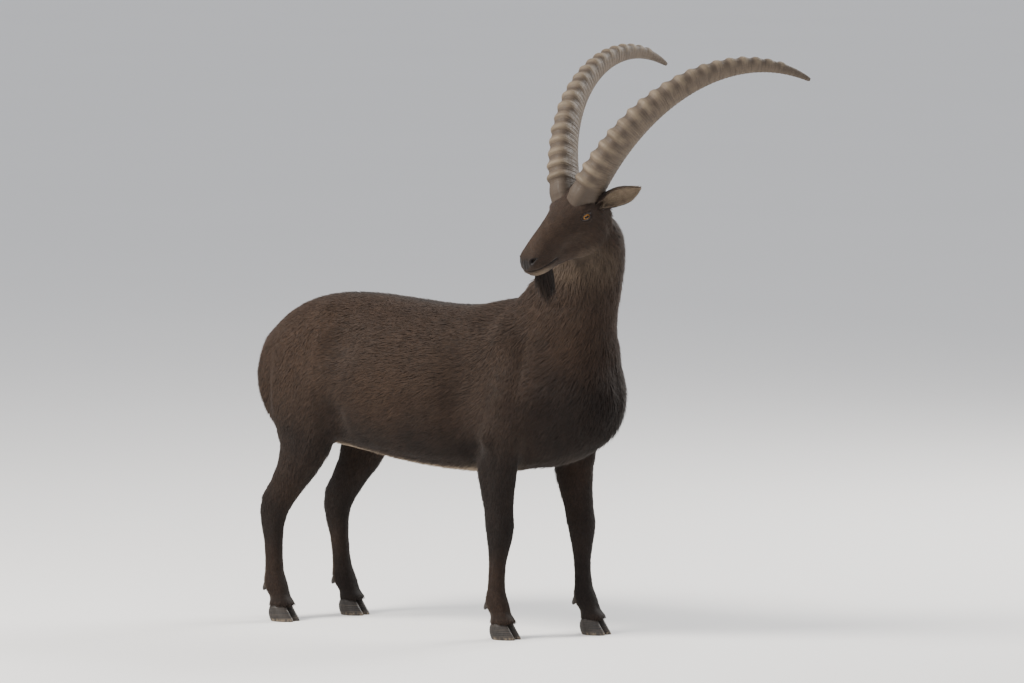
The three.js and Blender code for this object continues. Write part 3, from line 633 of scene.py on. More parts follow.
def flesh():
    """The solids of flesh, each grown a little so that all of them overlap, with their rooms filled."""
    parts = []
    for node in FLESH:
        bm = bmesh.new()
        bm.from_mesh(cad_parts[node].data)
        bmesh.ops.remove_doubles(bm, verts=bm.verts, dist=1e-6)
        mesh = bpy.data.meshes.new(node)
        bm.to_mesh(mesh)
        bm.free()
        points, faces = mesh_arrays(mesh)
        bpy.data.meshes.remove(mesh)
        parts.append((points + normals_of(points, faces) * OVERLAP * MM, faces))
    share, way = np.linspace(0, 1, 9), np.array(TAIL_WAY)
    wide, high = TAIL_FORM(share).T[:, :, None] * MM
    centres = body_place(*TAIL_ROOT) + share[:, None] * way * TAIL_LENGTH * 0.8 * MM
    tail = loft(rings_round(centres, wide * ACROSS, high * np.cross(way, ACROSS), 16))
    return together([*parts, tail, *plugs()])


def remeshed(points, faces, voxel):
    mesh = new_mesh("flesh", points, faces)
    piece = new_object("flesh", mesh)
    modifier = piece.modifiers.new("remesh", "REMESH")
    modifier.mode = "VOXEL"
    modifier.voxel_size = voxel
    graph = bpy.context.evaluated_depsgraph_get()
    made = bpy.data.meshes.new_from_object(piece.evaluated_get(graph))
    bpy.data.objects.remove(piece)
    bpy.data.meshes.remove(mesh)
    points, quads = read(made.vertices, "co", 3), read(made.loops, "vertex_index", 1, np.int32)
    bpy.data.meshes.remove(made)
    return largest_island(points, quads.reshape(-1, 4))


def largest_island(points, faces):
    edges = edges_of(faces)
    label = np.arange(len(points))
    while True:
        low = np.minimum(label[edges[:, 0]], label[edges[:, 1]])
        new = label.copy()
        np.minimum.at(new, label[edges[:, 0]], low)
        np.minimum.at(new, label[edges[:, 1]], low)
        new = new[new]
        if (new == label).all():
            break
        label = new
    names, sizes = np.unique(label, return_counts=True)
    keep = label == names[sizes.argmax()]
    order = np.cumsum(keep) - 1
    return points[keep], order[faces[keep[faces].all(1)]]


def refine(mesh, inside):
    """Splits the faces of a mesh whose points all lie inside."""
    bm = bmesh.new()
    bm.from_mesh(mesh)
    bm.verts.ensure_lookup_table()
    chosen = [e for e in bm.edges if inside[e.verts[0].index] and inside[e.verts[1].index]]
    bmesh.ops.subdivide_edges(bm, edges=chosen, cuts=1, use_grid_fill=True)
    bm.to_mesh(mesh)
    bm.free()


def depth_of_coat(points):
    """How far the skin lies under the solids, in metres."""
    z = points[:, 2] / MM
    face = smooth(head_local(points)[:, 0], -90, 20) * smooth(z, 900, 980)
    depth = COAT_DEPTH - LESS_ON_FACE * face - LESS_ON_LEGS * smooth(z, 520, 380)
    return np.maximum(depth, LEAST_DEPTH) * smooth(z, 48, 70) * MM


def swelling(local, forms):
    """How far the surface swells at places that mirror the forms' own to both sides."""
    gain = np.zeros(len(local))
    for place, reach, out in forms:
        for side in SIDES.values():
            away = (local - np.array(place) * (1, side, 1)) / reach
            gain += out * np.exp(-(away**2).sum(1)) * (1 if place[1] else 0.5)
    return gain


def leg_middle(leg):
    """A leg's middle line: x and y at a height, in metres."""
    nodes = [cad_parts[f"leg_{leg}_{half}"] for half in ("upper", "lower")]
    points = np.vstack([mesh_arrays(node.data)[0] for node in nodes])
    rows = []
    for z in np.arange(0.05, 0.6, 0.025):
        ring = points[np.abs(points[:, 2] - z) < 0.03]
        rows.append((z, *((ring.min(0) + ring.max(0)) / 2)[:2]))
    return along(rows)


def modelled(points, normals):
    """The flesh with its muscles, bones and hollows."""
    on_head = smooth(head_local(points)[:, 0], -105, -80) * (points[:, 2] > HEAD_FLOOR)
    gain = swelling(body_local(points), BODY_FORMS) * (1 - on_head)
    gain += swelling(head_local(points), HEAD_FORMS) * on_head
    for leg in LEGS:
        middle = leg_middle(leg)(points[:, 2])
        place = np.column_stack([points[:, :2] - middle, points[:, 2]]) / MM
        near = (np.hypot(place[:, 0], place[:, 1]) < 75) * smooth(place[:, 2], 560, 500)
        gain += swelling(place, FORELEG_FORMS if "front" in leg else HINDLEG_FORMS) * near
    return points + normals * gain[:, None] * MM


def eye_frame(side):
    """The eye's centre, the way it looks, its own forward and its own up, in the head's frame."""
    way, level = unit(np.array([0.34, side * 0.92, 0.1])), np.array([1.0, 0, -0.12])
    forward = unit(level - way * (level @ way))
    up = np.cross(way, forward)
    return np.array([0, side * EYE_OUT, 0]), way, forward, up * np.sign(up[2])


def lid_height(u, upper):
    """Half height of the opening between the lids at a distance forward of its middle."""
    share = np.clip(1 - np.abs(u / LID_HALF_LENGTH) ** 2.1, 0, 1)
    return (UPPER_LID if upper else LOWER_LID) * share**0.85


def eye_local(local, side):
    """How far points lie forward, up and out from the eye's centre, and past the opening's edge."""
    centre, way, forward, up = eye_frame(side)
    u, v, w = ((local - centre) @ axis for axis in (forward, up, way))
    edge = np.where(v > 0, v - lid_height(u, True), -v - lid_height(u, False))
    return u, v, w, np.maximum(edge, np.abs(u) - LID_HALF_LENGTH)


def carve_eyes(points):
    local = head_local(points)
    for side in SIDES.values():
        centre = eye_frame(side)[0]
        away, (u, v, w, edge) = local - centre, eye_local(local, side)
        distance = np.linalg.norm(away, axis=1)
        near = (w > 0) & (np.hypot(u, v) < 40) & (distance < 60)
        lid = EYE_RADIUS + 0.6 + 2.3 * smooth(edge, 0, 3.5) + 0.8 * bell((edge - 5) / 3) * (v > 0)
        fade = smooth(np.hypot(u, v * 1.15), 30, 17)
        raised = np.maximum(distance, lid) * fade + distance * (1 - fade)
        fold = 1.3 * bell((edge - 8) / 1.6) * smooth(np.abs(u), 19, 10) * (v > 0)
        radius = np.where(edge < 0, 12.0, raised - fold)
        moved = centre + away / np.maximum(distance, 1e-9)[:, None] * radius[:, None]
        local = np.where(near[:, None], moved, local)
    return head_world(local)


def mouth_height(x):
    share = np.clip((x - MOUTH_CORNER) / MOUTH_LENGTH, 0, 1)
    return MOUTH_HEIGHT - 6 * share + 3 * np.sin(math.pi * share)


def nostril_field(local, side):
    """Below 1 inside the nostril. It is a comma that leans back, wide at its front end."""
    way = unit(np.array([0.62, side * -0.5, -0.42]))
    away = local - np.array(NOSTRIL) * (1, side, 1)
    run = away @ way
    bend = away + (run**2)[:, None] * np.array([0, 0, 0.02])
    cross = np.linalg.norm(bend - run[:, None] * way, axis=1)
    wide = 4.6 + 0.2 * np.clip(run, -9, 8)
    return np.sqrt((run / 11.5) ** 2 + (cross / wide) ** 2 * 0.9)


def carve_muzzle(points, normals):
    local = head_local(points)
    x, y, z = local.T
    near = (x > 88) & (z < 20) & (points[:, 2] > HEAD_FLOOR)
    off = z - mouth_height(x)
    line = bell(off / 1.5) * smooth(x, 98, 116)
    lips = bell((np.abs(off) - 6) / 4.5) * smooth(x, 110, 140)
    groove = bell(y / 1.5) * smooth(x, 178, 186) * smooth(z, -82, -76) * smooth(-z, 44, 54)
    move = 1.3 * lips - 3.4 * line - 1.6 * groove
    for side in SIDES.values():
        field = nostril_field(local, side)
        move += 1.6 * bell((field - 1.35) / 0.35) - 8.5 * smooth(field, 1.05, 0.25)
    return points + normals * (move * near)[:, None] * MM


def bare_share(points):
    """Where the skin shows: the nostrils, the nose's pad, the line of the mouth and the eyes' rims."""
    local = head_local(points)
    x, y, z = local.T
    pad = smooth(np.hypot(y / 15, (z + 61) / 13), 1.1, 0.75) * smooth(x, 178, 186)
    shares = [pad, bell((z - mouth_height(x)) / 2.2) * smooth(x, 102, 112)]
    for side in SIDES.values():
        _, _, w, edge = eye_local(local, side)
        shares += [smooth(nostril_field(local, side), 1.7, 1.1), smooth(edge, 3.6, 1.6) * (w > 4)]
    return np.maximum.reduce(shares) * (x > -30) * (points[:, 2] > HEAD_FLOOR)


def ear_way(side):
    return np.array([-0.3, side * 0.9, 0.2])


def ear_mesh(side):
    """The cup of an ear: its points, its triangles and which points lie inside it."""
    way = unit(ear_way(side))
    back = np.array([-0.86, side * -0.26, 0.38])
    back = unit(back - way * (back @ way))
    up = np.cross(back, way) * side
    rings = []
    for t in np.linspace(0, 1, EAR_ROWS):
        wide, roll, thick = EAR_FORM(t)[0]
        opening = math.radians(roll)
        radius = EAR_HALF_WIDTH * wide / math.sin(min(opening, math.pi / 2)) - 0.8
        centre = np.array(EAR_ROOT) * (1, side, 1) + way * (EAR_LENGTH - 2) * t
        centre = centre + back * (10 * math.sin(math.pi * t) - radius)
        outer = np.linspace(-opening, opening, EAR_AROUND)
        angle = np.concatenate([outer, -outer * 0.97])
        reach = np.repeat([radius, max(radius * 0.2, radius - thick * 0.72)], EAR_AROUND)[:, None]
        rings.append(centre + reach * (back * np.cos(angle)[:, None] + up * np.sin(angle)[:, None]))
    points, faces = loft(np.array(rings))
    inner = np.arange(len(points)) % (2 * EAR_AROUND) >= EAR_AROUND
    return head_world(points), faces, inner


def unwrap(piece):
    """An unwrap of the piece's own shape, in the map named OFBake."""
    piece.data.uv_layers.new(name="OFBake")
    bpy.context.view_layer.objects.active = piece
    piece.select_set(True)
    bpy.ops.object.mode_set(mode="EDIT")
    bpy.ops.mesh.select_all(action="SELECT")
    bpy.ops.uv.smart_project(angle_limit=math.radians(70), island_margin=0.001)
    bpy.ops.object.mode_set(mode="OBJECT")
    piece.select_set(False)


class IBEX_OT_skin(bpy.types.Operator):
    """Builds one skin over the whole body, with the forms of the head"""

    bl_idname = "ibex.skin"
    bl_label = "Skin"

    def execute(self, context):
        points, faces = remeshed(*flesh(), context.scene.ibex.skin_grain)
        edges = edges_of(faces)
        points = relax(points, edges, 10)
        on_head = smooth(head_local(points)[:, 0], -125, -85) * (points[:, 2] > HEAD_FLOOR)
        points = relax(points, edges, 45, smooth(points[:, 2], 0.5, 0.6) * (1 - on_head), 0)
        points = modelled(points, normals_of(points, faces))
        points = points - normals_of(points, faces) * depth_of_coat(points)[:, None]
        points = relax(points, edges, 3)

        mesh = new_mesh("refined", points, faces)
        refine(mesh, (head_local(points)[:, 0] > -105) & (points[:, 2] > 0.95))
        points = read(mesh.vertices, "co", 3)
        hx, _, hz = head_local(points).T
        eyes = np.hypot(hx, hz) < 30
        muzzle = (hx > 108) & (hz < -24)
        refine(mesh, (eyes | muzzle) & (points[:, 2] > HEAD_FLOOR) & (hx > -60))
        points, faces = mesh_arrays(mesh)
        bpy.data.meshes.remove(mesh)

        on_head = (head_local(points)[:, 0] > -120) & (points[:, 2] > HEAD_FLOOR)
        points = relax(points, edges_of(faces), 6, on_head.astype(float))
        points = carve_eyes(carve_muzzle(points, normals_of(points, faces)))
        ears = [ear_mesh(side) for side in SIDES.values()]
        inner = np.concatenate([np.zeros(len(points), bool), *(ear[2] for ear in ears)])
        points, faces = together([(points, faces), *(ear[:2] for ear in ears)])
        values = markings(points, normals_of(points, faces))
        values["pale"] = np.maximum(values["pale"], inner * 0.7)
        values.update(bare=bare_share(points), inner=inner)
        material = coat_material("skin", with_tufts=False)
        replaced = [*FLESH, "ear_left", "ear_right"]
        unwrap(new_piece("skin", points, faces, material, "coat", replaced, **values))
        return {"FINISHED"}


# Coat
def blades(roots, normals, ways, lengths, widths, lift, sag, stations):
    """Thin ridged blades of hair: points, triangles, each point's share of the length and its blade."""
    side = unit(np.cross(ways, normals))
    place = roots - normals * (0.12 * lengths[:, None] * np.sin(lift)[:, None] + 0.0006)
    rows, tips = [], []
    for t, after in zip(stations, stations[1:]):
        spread = widths[:, None] * (1 - t**1.6) ** 0.8
        ridge = place + normals * spread * 0.28
        rows.append(np.stack([place - side * spread / 2, ridge, place + side * spread / 2], 1))
        tips += [t] * 3
        angle = (lift * (1 - 0.8 * t))[:, None]
        heading = unit(ways * np.cos(angle) + normals * np.sin(angle) + sag * t)
        place = place + heading * lengths[:, None] * (after - t)
    points = np.concatenate([*rows, place[:, None]], 1)
    each = points.shape[1]
    pattern = []
    for a in range(0, each - 4, 3):
        b = a + 3
        pattern += [(a, a + 1, b + 1), (a, b + 1, b), (a + 1, a + 2, b + 2), (a + 1, b + 2, b + 1)]
    a = each - 4
    pattern += [(a, a + 1, a + 3), (a + 1, a + 2, a + 3)]
    start = np.arange(len(roots))[:, None, None] * each
    faces = (start + np.array(pattern)).reshape(-1, 3)
    owner = np.repeat(np.arange(len(roots)), each)
    return points.reshape(-1, 3), faces, np.tile([*tips, 1.0], len(roots)), owner


def coat_piece(name, hair, uv, values, material, slot, replaces=()):
    """A piece of coat from blades, each painted from a small patch at its root's place on the unwrap."""
    points, faces, tip, owner = hair
    values = {key: value[owner] for key, value in values.items()}
    piece = new_piece(name, points, faces, material, slot, replaces, tip=tip, **values)
    each = np.bincount(owner).max()
    column = np.tile((np.arange(each) % 3 - 1.0) * (np.arange(each) < each - 1), len(tip) // each)
    corner = uv[owner] + np.stack([column * PATCH * 0.4, (tip - 0.5) * PATCH * 0.9], 1)
    layer = piece.data.uv_layers.new(name="OFBake")
    layer.data.foreach_set("uv", np.clip(corner, 0, 1)[faces.ravel()].ravel().astype(np.float32))


def skin_uv(roots):
    """The place on the skin's unwrap that lies nearest to each root."""
    mesh = bpy.data.objects["skin"].data
    points = mesh_arrays(mesh)[0]
    corner = np.zeros(len(points), int)
    corner[read(mesh.loops, "vertex_index", 1, np.int32)] = np.arange(len(mesh.loops))
    tree = KDTree(len(points))
    for index, point in enumerate(points):
        tree.insert(point, index)
    tree.balance()
    nearest = [tree.find(root)[1] for root in roots]
    return read(mesh.uv_layers["OFBake"].data, "uv", 2)[corner[nearest]]


def scatter(rng, points, faces, density):
    """Roots spread over triangles, so many for each square metre: their face and place in it."""
    corner = points[faces]
    area = np.linalg.norm(np.cross(corner[:, 1] - corner[:, 0], corner[:, 2] - corner[:, 0]), axis=1) / 2
    wanted = area * density(corner.mean(1))
    count = np.floor(wanted + rng.random(len(faces))).astype(int)
    face = np.repeat(np.arange(len(faces)), count)
    share = rng.random((len(face), 2))
    share = np.where(share.sum(1, keepdims=True) > 1, 1 - share, share)
    return face, np.column_stack([1 - share.sum(1), share])


def clump(points):
    """A slow wave over the body, by which neighbouring tufts lean together."""
    x, y, z = points.T
    return np.sin(x * 61 + 2 * np.sin(z * 43)) * np.sin(z * 53 + 1.7 * np.sin(y * 47 + x * 31))


class IBEX_OT_coat(bpy.types.Operator):
    """Covers the skin with tufts that lie along the body"""

    bl_idname = "ibex.coat"
    bl_label = "Coat"

    def execute(self, context):
        settings = context.scene.ibex
        rng = np.random.default_rng(settings.seed)
        mesh = bpy.data.objects["skin"].data
        points, faces = mesh_arrays(mesh)

        def density(places):
            length, width = coat_lie(places)[2:]
            legs = smooth(places[:, 2], 0.62, 0.4)
            return settings.coat_cover * (1 - 0.42 * legs) / (0.6 * length * width)

        face, share = scatter(rng, points, faces, density)

        def at_roots(values, corners=faces):
            return np.einsum("ij,ij...->i...", share, values[corners[face]])

        roots, normals = at_roots(points), unit(at_roots(normals_of(points, faces)))
        loops = read(mesh.loop_triangles, "loops", 3, np.int32)
        uv = at_roots(read(mesh.uv_layers["OFBake"].data, "uv", 2), loops)
        keys = ("dark", "pale", "bare", "inner")
        values = {key: at_roots(read(mesh.attributes[key].data, "value")) for key in keys}
        group, ways, length, width = coat_lie(roots)
        length[values.pop("inner") > 0.5] *= 1.5
        length *= rng.uniform(*LENGTH_SPREAD, len(length))
        width *= rng.uniform(*WIDTH_SPREAD, len(width))
        tangent = ways - normals * (ways * normals).sum(1, keepdims=True)
        keep = (values["bare"] < MOST_BARE) & (np.linalg.norm(tangent, axis=1) > 0.05)
        tangent = unit(tangent)
        across = np.cross(normals, tangent)
        drift = rng.normal(0, 0.16, len(roots))[:, None] + clump(roots)[:, None] * 0.22
        tangent = unit(tangent + across * drift)
        lift = np.radians(rng.uniform(*LIFT_SPREAD, len(roots)) * np.where(group == "head", 0.7, 1))
        lift *= 1 - 0.75 * smooth(roots[:, 2], 0.1, 0.055)
        values["tone"] = np.clip(0.7 * rng.random(len(roots)) + 0.15 + 0.2 * clump(roots * 2.1), 0, 1)
        on_left = roots[:, 1] > SHIFT[1]
        pieces = {
            "coat_head": group == "head",
            "coat_neck": group == "neck",
            "coat_flank_left": (group == "trunk") & on_left,
            "coat_flank_right": (group == "trunk") & ~on_left,
            "coat_forelegs": group == "front",
            "coat_hindlegs": group == "hind",
        }
        material = coat_material("coat", with_tufts=True)
        for name, chosen in pieces.items():
            index = np.flatnonzero(chosen & keep)
            parts = np.array_split(index, max(1, math.ceil(len(index) / TUFTS_A_PIECE)))
            for part, some in enumerate(parts):
                lie = [rows[some] for rows in (roots, normals, tangent, length, width, lift)]
                sag = across[some] * rng.normal(0, 0.12, len(some))[:, None]
                hair = blades(*lie, sag, (0, 0.45, 1))
                painted = {key: value[some] for key, value in values.items()}
                coat_piece(f"{name}_{part + 1}", hair, uv[some], painted, material, "coat")
        return {"FINISHED"}


# Beard and tail
def hang(node, material, rng, roots, normals, ways, lengths, widths, lift, sag, stations, dark):
    """Long locks that stand for a node."""
    lie = (unit(normals), unit(ways), lengths, widths * MM, np.radians(lift), sag)
    hair = blades(roots, *lie, stations)
    values = {"dark": dark, "pale": 0 * dark, "bare": 0 * dark, "tone": rng.random(len(dark))}
    coat_piece(f"{node}_locks", hair, skin_uv(roots), values, material, "dark_coat", [node])


def beard(material, rng, count):
    angle, reach = rng.uniform(0, 2 * math.pi, count)[:, None], np.sqrt(rng.random(count))
    fore = unit(np.array([*head_way(1, 0, 0)[:2], 0]))
    side = np.array([-fore[1], fore[0], 0])
    chin = head_place(*CHIN)
    out = np.cos(angle) * fore * 25 + np.sin(angle) * side * 13
    up = np.array([0, 0, 1.0])
    roots = chin + (out * reach[:, None] + up * rng.uniform(-6, 4, count)[:, None]) * MM
    normals = unit(out + 0.01 * up)
    ways = 0.12 * reach[:, None] * normals - up + rng.normal(0, 0.05, (count, 3))
    drop = chin[2] - box("beard")[0][2]
    lengths = drop * rng.uniform(0.6, 1.0, count) * (1.08 - 0.42 * reach**2)
    widths, lift = rng.uniform(2.2, 4.2, count), rng.uniform(0, 6, count)
    sag = -0.3 * fore - 0.16 * normals + rng.normal(0, 0.09, (count, 3))
    stations, dark = (0, 0.2, 0.42, 0.64, 0.84, 1), rng.uniform(0.45, 0.9, count)
    hang("beard", material, rng, roots, normals, ways, lengths, widths, lift, sag, stations, dark)


def tail(material, rng, count):
    way = unit(np.array(TAIL_WAY, float))
    share = rng.uniform(0.25, 1, count) ** 0.8
    angle = rng.uniform(0, 2 * math.pi, count)[:, None]
    wide, high = TAIL_FORM(share).T[:, :, None] * 0.8
    out = np.sin(angle) * ACROSS * wide + np.cos(angle) * np.cross(way, ACROSS) * high
    roots = body_place(*TAIL_ROOT) + (way * share[:, None] * TAIL_LENGTH * 0.78 + out) * MM
    ways = way + ACROSS * out[:, 1:2] * 0.004 + rng.normal(0, 0.07, (count, 3))
    lengths = (1.12 - share * 0.72) * TAIL_LENGTH * 0.62 * rng.uniform(0.75, 1.1, count) * MM
    widths, lift = rng.uniform(3.5, 6.5, count), rng.uniform(2, 12, count)
    sag = np.array([0, 0, -0.2]) + rng.normal(0, 0.05, (count, 3))
    stations, dark = (0, 0.25, 0.5, 0.75, 1), np.clip(0.35 + 0.65 * share, 0, 1)
    hang("tail", material, rng, roots, out, ways, lengths, widths, lift, sag, stations, dark)


class IBEX_OT_beard(bpy.types.Operator):
    """Hangs the beard from the chin and the long hair from the tail"""

    bl_idname = "ibex.beard"
    bl_label = "Beard and tail"

    def execute(self, context):
        settings = context.scene.ibex
        rng = np.random.default_rng(settings.seed + 1)
        material = coat_material("long_hair", with_tufts=True)
        beard(material, rng, settings.beard_locks)
        tail(material, rng, settings.tail_locks)
        return {"FINISHED"}


# Horns
# The front's rise over one knob, from one crease to the next
KNOB_SHAPE = ((0, 0), (0.14, 0.1), (0.27, 0.62), (0.38, 1), (0.52, 0.97), (0.64, 0.72), (0.8, 0.2), (1, 0))


def horn_line(side, stops):
    """A horn's middle line at stops from 0 to 1: its places, ways, and ways outwards and to the front."""
    count = 400
    s = np.arange(count + 1) / count
    turn = np.radians(HORN_RISE + HORN_ARC * (0.9 * s + 0.1 * s * s))
    splay = np.radians(HORN_SPLAY[0] + (HORN_SPLAY[1] - HORN_SPLAY[0]) * s)
    way = unit(np.stack([np.cos(turn), side * np.tan(splay), np.sin(turn)], 1))
    steps = np.vstack([[0, 0, 0], np.cumsum(way[:-1], 0)]) * HORN_LENGTH / count
    out = unit(np.array([0, side, 0]) - way * way[:, 1:2] * side)

    def at_stops(rows):
        return np.stack([np.interp(stops, s, column) for column in rows.T], 1)

    place = at_stops(np.array(HORN_ROOT) * (1, side, 1) + steps)
    return place, *(unit(at_stops(rows)) for rows in (way, out, np.cross(out, way) * side))


class IBEX_OT_horns(bpy.types.Operator):
    """Builds the two horns with their knobs and growth lines"""

    bl_idname = "ibex.horns"
    bl_label = "Horns"

    def execute(self, context):
        rng = np.random.default_rng(context.scene.ibex.seed + 2)
        spans = HORN_KNOBS + 3
        stops = np.linspace(0, 1, HORN_ROWS)
        turns = stops ** (1 / 1.08) * spans
        knob = np.floor(turns).astype(int)
        height = rng.uniform(0.78, 1.12, spans + 1)[knob]
        lean = rng.normal(0, 0.16, spans + 1)[knob]
        height[knob < 1] = 0.4
        wave = np.interp(turns - knob, *np.array(KNOB_SHAPE).T) * (knob <= HORN_KNOBS) * height
        wave = np.convolve(np.pad(wave, 2, "edge"), [0.1, 0.2, 0.4, 0.2, 0.1], "valid")[:, None]
        lines = sum(np.sin(stops**crowd * 2 * math.pi * many) * high for crowd, many, high in GROWTH_LINES)
        angle = 2 * math.pi * (np.arange(HORN_AROUND) + 0.5) / HORN_AROUND
        c, s = np.cos(angle), np.sin(angle)
        reach = np.sign(s) * np.abs(s) ** np.where(s > 0, 0.62, 0.9)
        broad = np.sign(c) * np.abs(c) ** 0.72 * np.where(s > 0, 1, 1 + 0.16 * s)
        fade = smooth(reach, -0.2, 0.75)
        sunk = np.maximum(0, 1 - np.arange(HORN_ROWS) / HORN_SUNK_ROWS) * HORN_SUNK
        stops = stops[:, None]
        taper = (1 - stops) ** 0.72
        half = HORN_DEPTH / 2 * (0.1 + 0.9 * taper)
        wide = HORN_WIDTH / 2 * (0.12 + 0.88 * taper)
        raised = wave * (1 + 0.12 * lean[:, None] * c * 3) * KNOB_HEIGHT * (1 - 0.7 * stops)
        groove = lines[:, None] * (0.5 + 0.5 * taper) * (1 - 0.6 * fade)
        across = broad * (wide + 0.35 * raised * fade) + c * groove
        depth = reach * half + np.maximum(reach, 0) * raised + s * groove
        values = {"knob": np.clip(wave * fade, 0, 1.2), "stretch": stops, "beside": c, "ahead": s}
        for key, value in {**values, "front": fade}.items():
            value = np.broadcast_to(value, across.shape).ravel()
            values[key] = np.append(value, [value[0], value[-1]])
        material = horn_material()
        for name, side in SIDES.items():
            place, way, out, front = horn_line(side, stops[:, 0])
            rings = (place - way * sunk[:, None])[:, None]
            rings = rings + out[:, None] * across[:, :, None] + front[:, None] * depth[:, :, None]
            points, faces = loft(head_world(rings))
            piece, node = f"horn_{name}_sheath", f"horn_{name}"
            new_piece(piece, points, faces, material, "horn", [node], **values)
        return {"FINISHED"}


def horn_material():
    settings = bpy.context.scene.ibex
    shader = Shader("horn", Specular_IOR_Level=0.35)
    keys = ("stretch", "knob", "beside", "ahead", "front")
    stretch, knob, beside, ahead, front = (shader.attribute(key) for key in keys)
    swayed = stretch + shader.noise(38, 2) * 0.012

    def drawn_out(along_horn, round_horn, scale, detail):
        """Noise that is stretched along the horn or round it."""
        place = shader.vector(swayed * along_horn, beside * round_horn, ahead * round_horn)
        return shader.noise_at(place, scale, detail)

    streaks = drawn_out(9, 3.2, 4.5, 6.0)
    growth = drawn_out(260, 0.8, 0.8, 3.0)
    lines = drawn_out(620, 1.6, 1.0, 2.0)
    patches = shader.noise(22, 4)
    # Painted shade: the creases between the knobs on the horn's front are darkened, as shade would fall in
    # them.
    crease_shade = (1 - knob.ramp(0.0, 0.35)) * front * stretch.ramp(0.02, 0.06) * stretch.ramp(0.95, 0.8)
    colour = shader.layers(
        settings.horn_dark,
        (streaks.ramp(0.25, 0.8, 0.5, 0.95), settings.horn_light),
        (growth.ramp(0.42, 0.7) * 0.45, settings.horn_dark),
        (lines.ramp(0.5, 0.75) * 0.35, settings.horn_dark),
        ((knob + patches * 0.9 - 0.4).ramp(0.35, 1.1) * 0.42, settings.horn_worn),
        (crease_shade * 0.65, settings.horn_dark),
        (patches.ramp(0.45, 0.7) * 0.35, settings.horn_dark),
        (stretch.ramp(0.085, 0.02) * 0.75, settings.horn_dark),
        (stretch.ramp(0.8, 1.0) * 0.5, settings.horn_dark),
    )
    height = streaks * 0.2 + growth * 0.7 + lines * 0.3
    return shader.finish(colour, streaks.ramp(0.3, 0.7, 0.58, 0.82), shader.bump(height, 0.002, 0.8))


# Eyes
def eyeball(name, side, material):
    centre, way, forward, up = eye_frame(side)
    points, faces = ball(centre, [EYE_RADIUS - 0.4] * 3, np.stack([forward, up, way], 1), 96, 72)
    u, v, w = ((points - centre) @ axis for axis in (forward, up, way))
    front = (w > 0).astype(float)
    points = points + way * (1.3 * smooth(np.hypot(u, v), 10.5, 4) * front)[:, None]
    values = {"u": u, "v": v, "front": front}
    piece, node = f"eyeball_{name}", f"eye_{name}"
    new_piece(piece, head_world(points), faces, material, "eye", [node], **values)


def lids(name, side, material):
    """The rim of an eye's two lids, and the lashes of the upper one."""
    centre, way, forward, up = eye_frame(side)
    c, s = circle(96)
    u = LID_HALF_LENGTH * np.sign(c) * np.abs(c) ** 0.9
    v = np.where(s > 0, lid_height(u, True), -lid_height(u, False))
    w = np.sqrt(np.maximum((EYE_RADIUS + 1.0) ** 2 - u**2 - v**2, 4))
    path = centre + u[:, None] * forward + v[:, None] * up + w[:, None] * way
    outward = unit(path - centre)
    edge = np.cross(unit(np.roll(path, -1, 0) - np.roll(path, 1, 0)), outward)
    tube = rings_round(path, outward * 1.25, edge * 1.55, 12)
    points, faces = loft(head_world(np.concatenate([tube, tube[:1]])), closed=False)
    new_piece(f"lid_rim_{name}", points, faces, material, "coat")

    rng = np.random.default_rng(3)
    pick = rng.integers(4, 44, LASHES)
    out = (outward * 0.8 + up * 0.55 - forward * 0.25)[pick] + rng.normal(0, 0.08, (LASHES, 3))
    roots = head_world((path + outward * 0.8)[pick])
    normals, ways = (unit(rows @ HEAD_AXES.T) for rows in (outward[pick], out))
    lengths, widths = rng.uniform(5, 8, LASHES) * MM, np.full(LASHES, 0.5 * MM)
    sag, stations = np.array([0, 0, 0.25]), (0, 0.5, 1)
    points, faces, *_ = blades(roots, normals, ways, lengths, widths, np.zeros(LASHES), sag, stations)
    new_piece(f"lashes_{name}", points, faces, material, "coat")


class IBEX_OT_eyes(bpy.types.Operator):
    """Builds the eyeballs, the rims of the lids and the lashes"""

    bl_idname = "ibex.eyes"
    bl_label = "Eyes"

    def execute(self, context):
        eye, rim = eye_material(), rim_material()
        for name, side in SIDES.items():
            eyeball(name, side, eye)
            lids(name, side, rim)
        return {"FINISHED"}


def eye_material():
    settings = bpy.context.scene.ibex
    shader = Shader("eye", Coat_Weight=0.3, Coat_Roughness=0.02, Specular_IOR_Level=0.08)
    u, v = shader.attribute("u"), shader.attribute("v")
    radius = (u * u + v * v) ** 0.5
    angle = u.math("ARCTAN2", v, u)
    rays = shader.noise_at(shader.vector(angle * 9, radius * 0.12, 0.0), 1.6, 4.0)
    rays, ring = (rays.ramp(0.3, 0.7), settings.iris_light), (radius.ramp(7.6, 9.6), tone("1a0f08"))
    iris = shader.layers(settings.iris_dark, rays, ring)
    slit = (u * (1 / 6.2)) ** 2
    slit = slit * slit + ((v * (1 / 3.0)) ** 2) ** 1.5
    colour = shader.mix(slit.ramp(0.8, 1.15), tone("030304"), iris)
    return shader.finish(colour, radius.ramp(8, 10, 0.1, 0.3))


def rim_material():
    shader = Shader("lid rim", Specular_IOR_Level=0.5)
    colour = shader.mix(shader.noise(300, 2), tone("17100d"), tone("2a1d18"))
    return shader.finish(colour, shader.noise(200).ramp(0.3, 0.7, 0.35, 0.5))


# Hooves
# A toe's height, back, front and width from its sole up, as shares of a hoof's sizes
TOE = along(
    [(0, 0, 0, 1, 1), (1, 0.12, -0.01, 0.985, 1.02), (2, 0.5, -0.01, 0.83, 0.97)]
    + [(3, 0.85, 0, 0.69, 0.9), (4, 1, 0.05, 0.6, 0.72)]
)


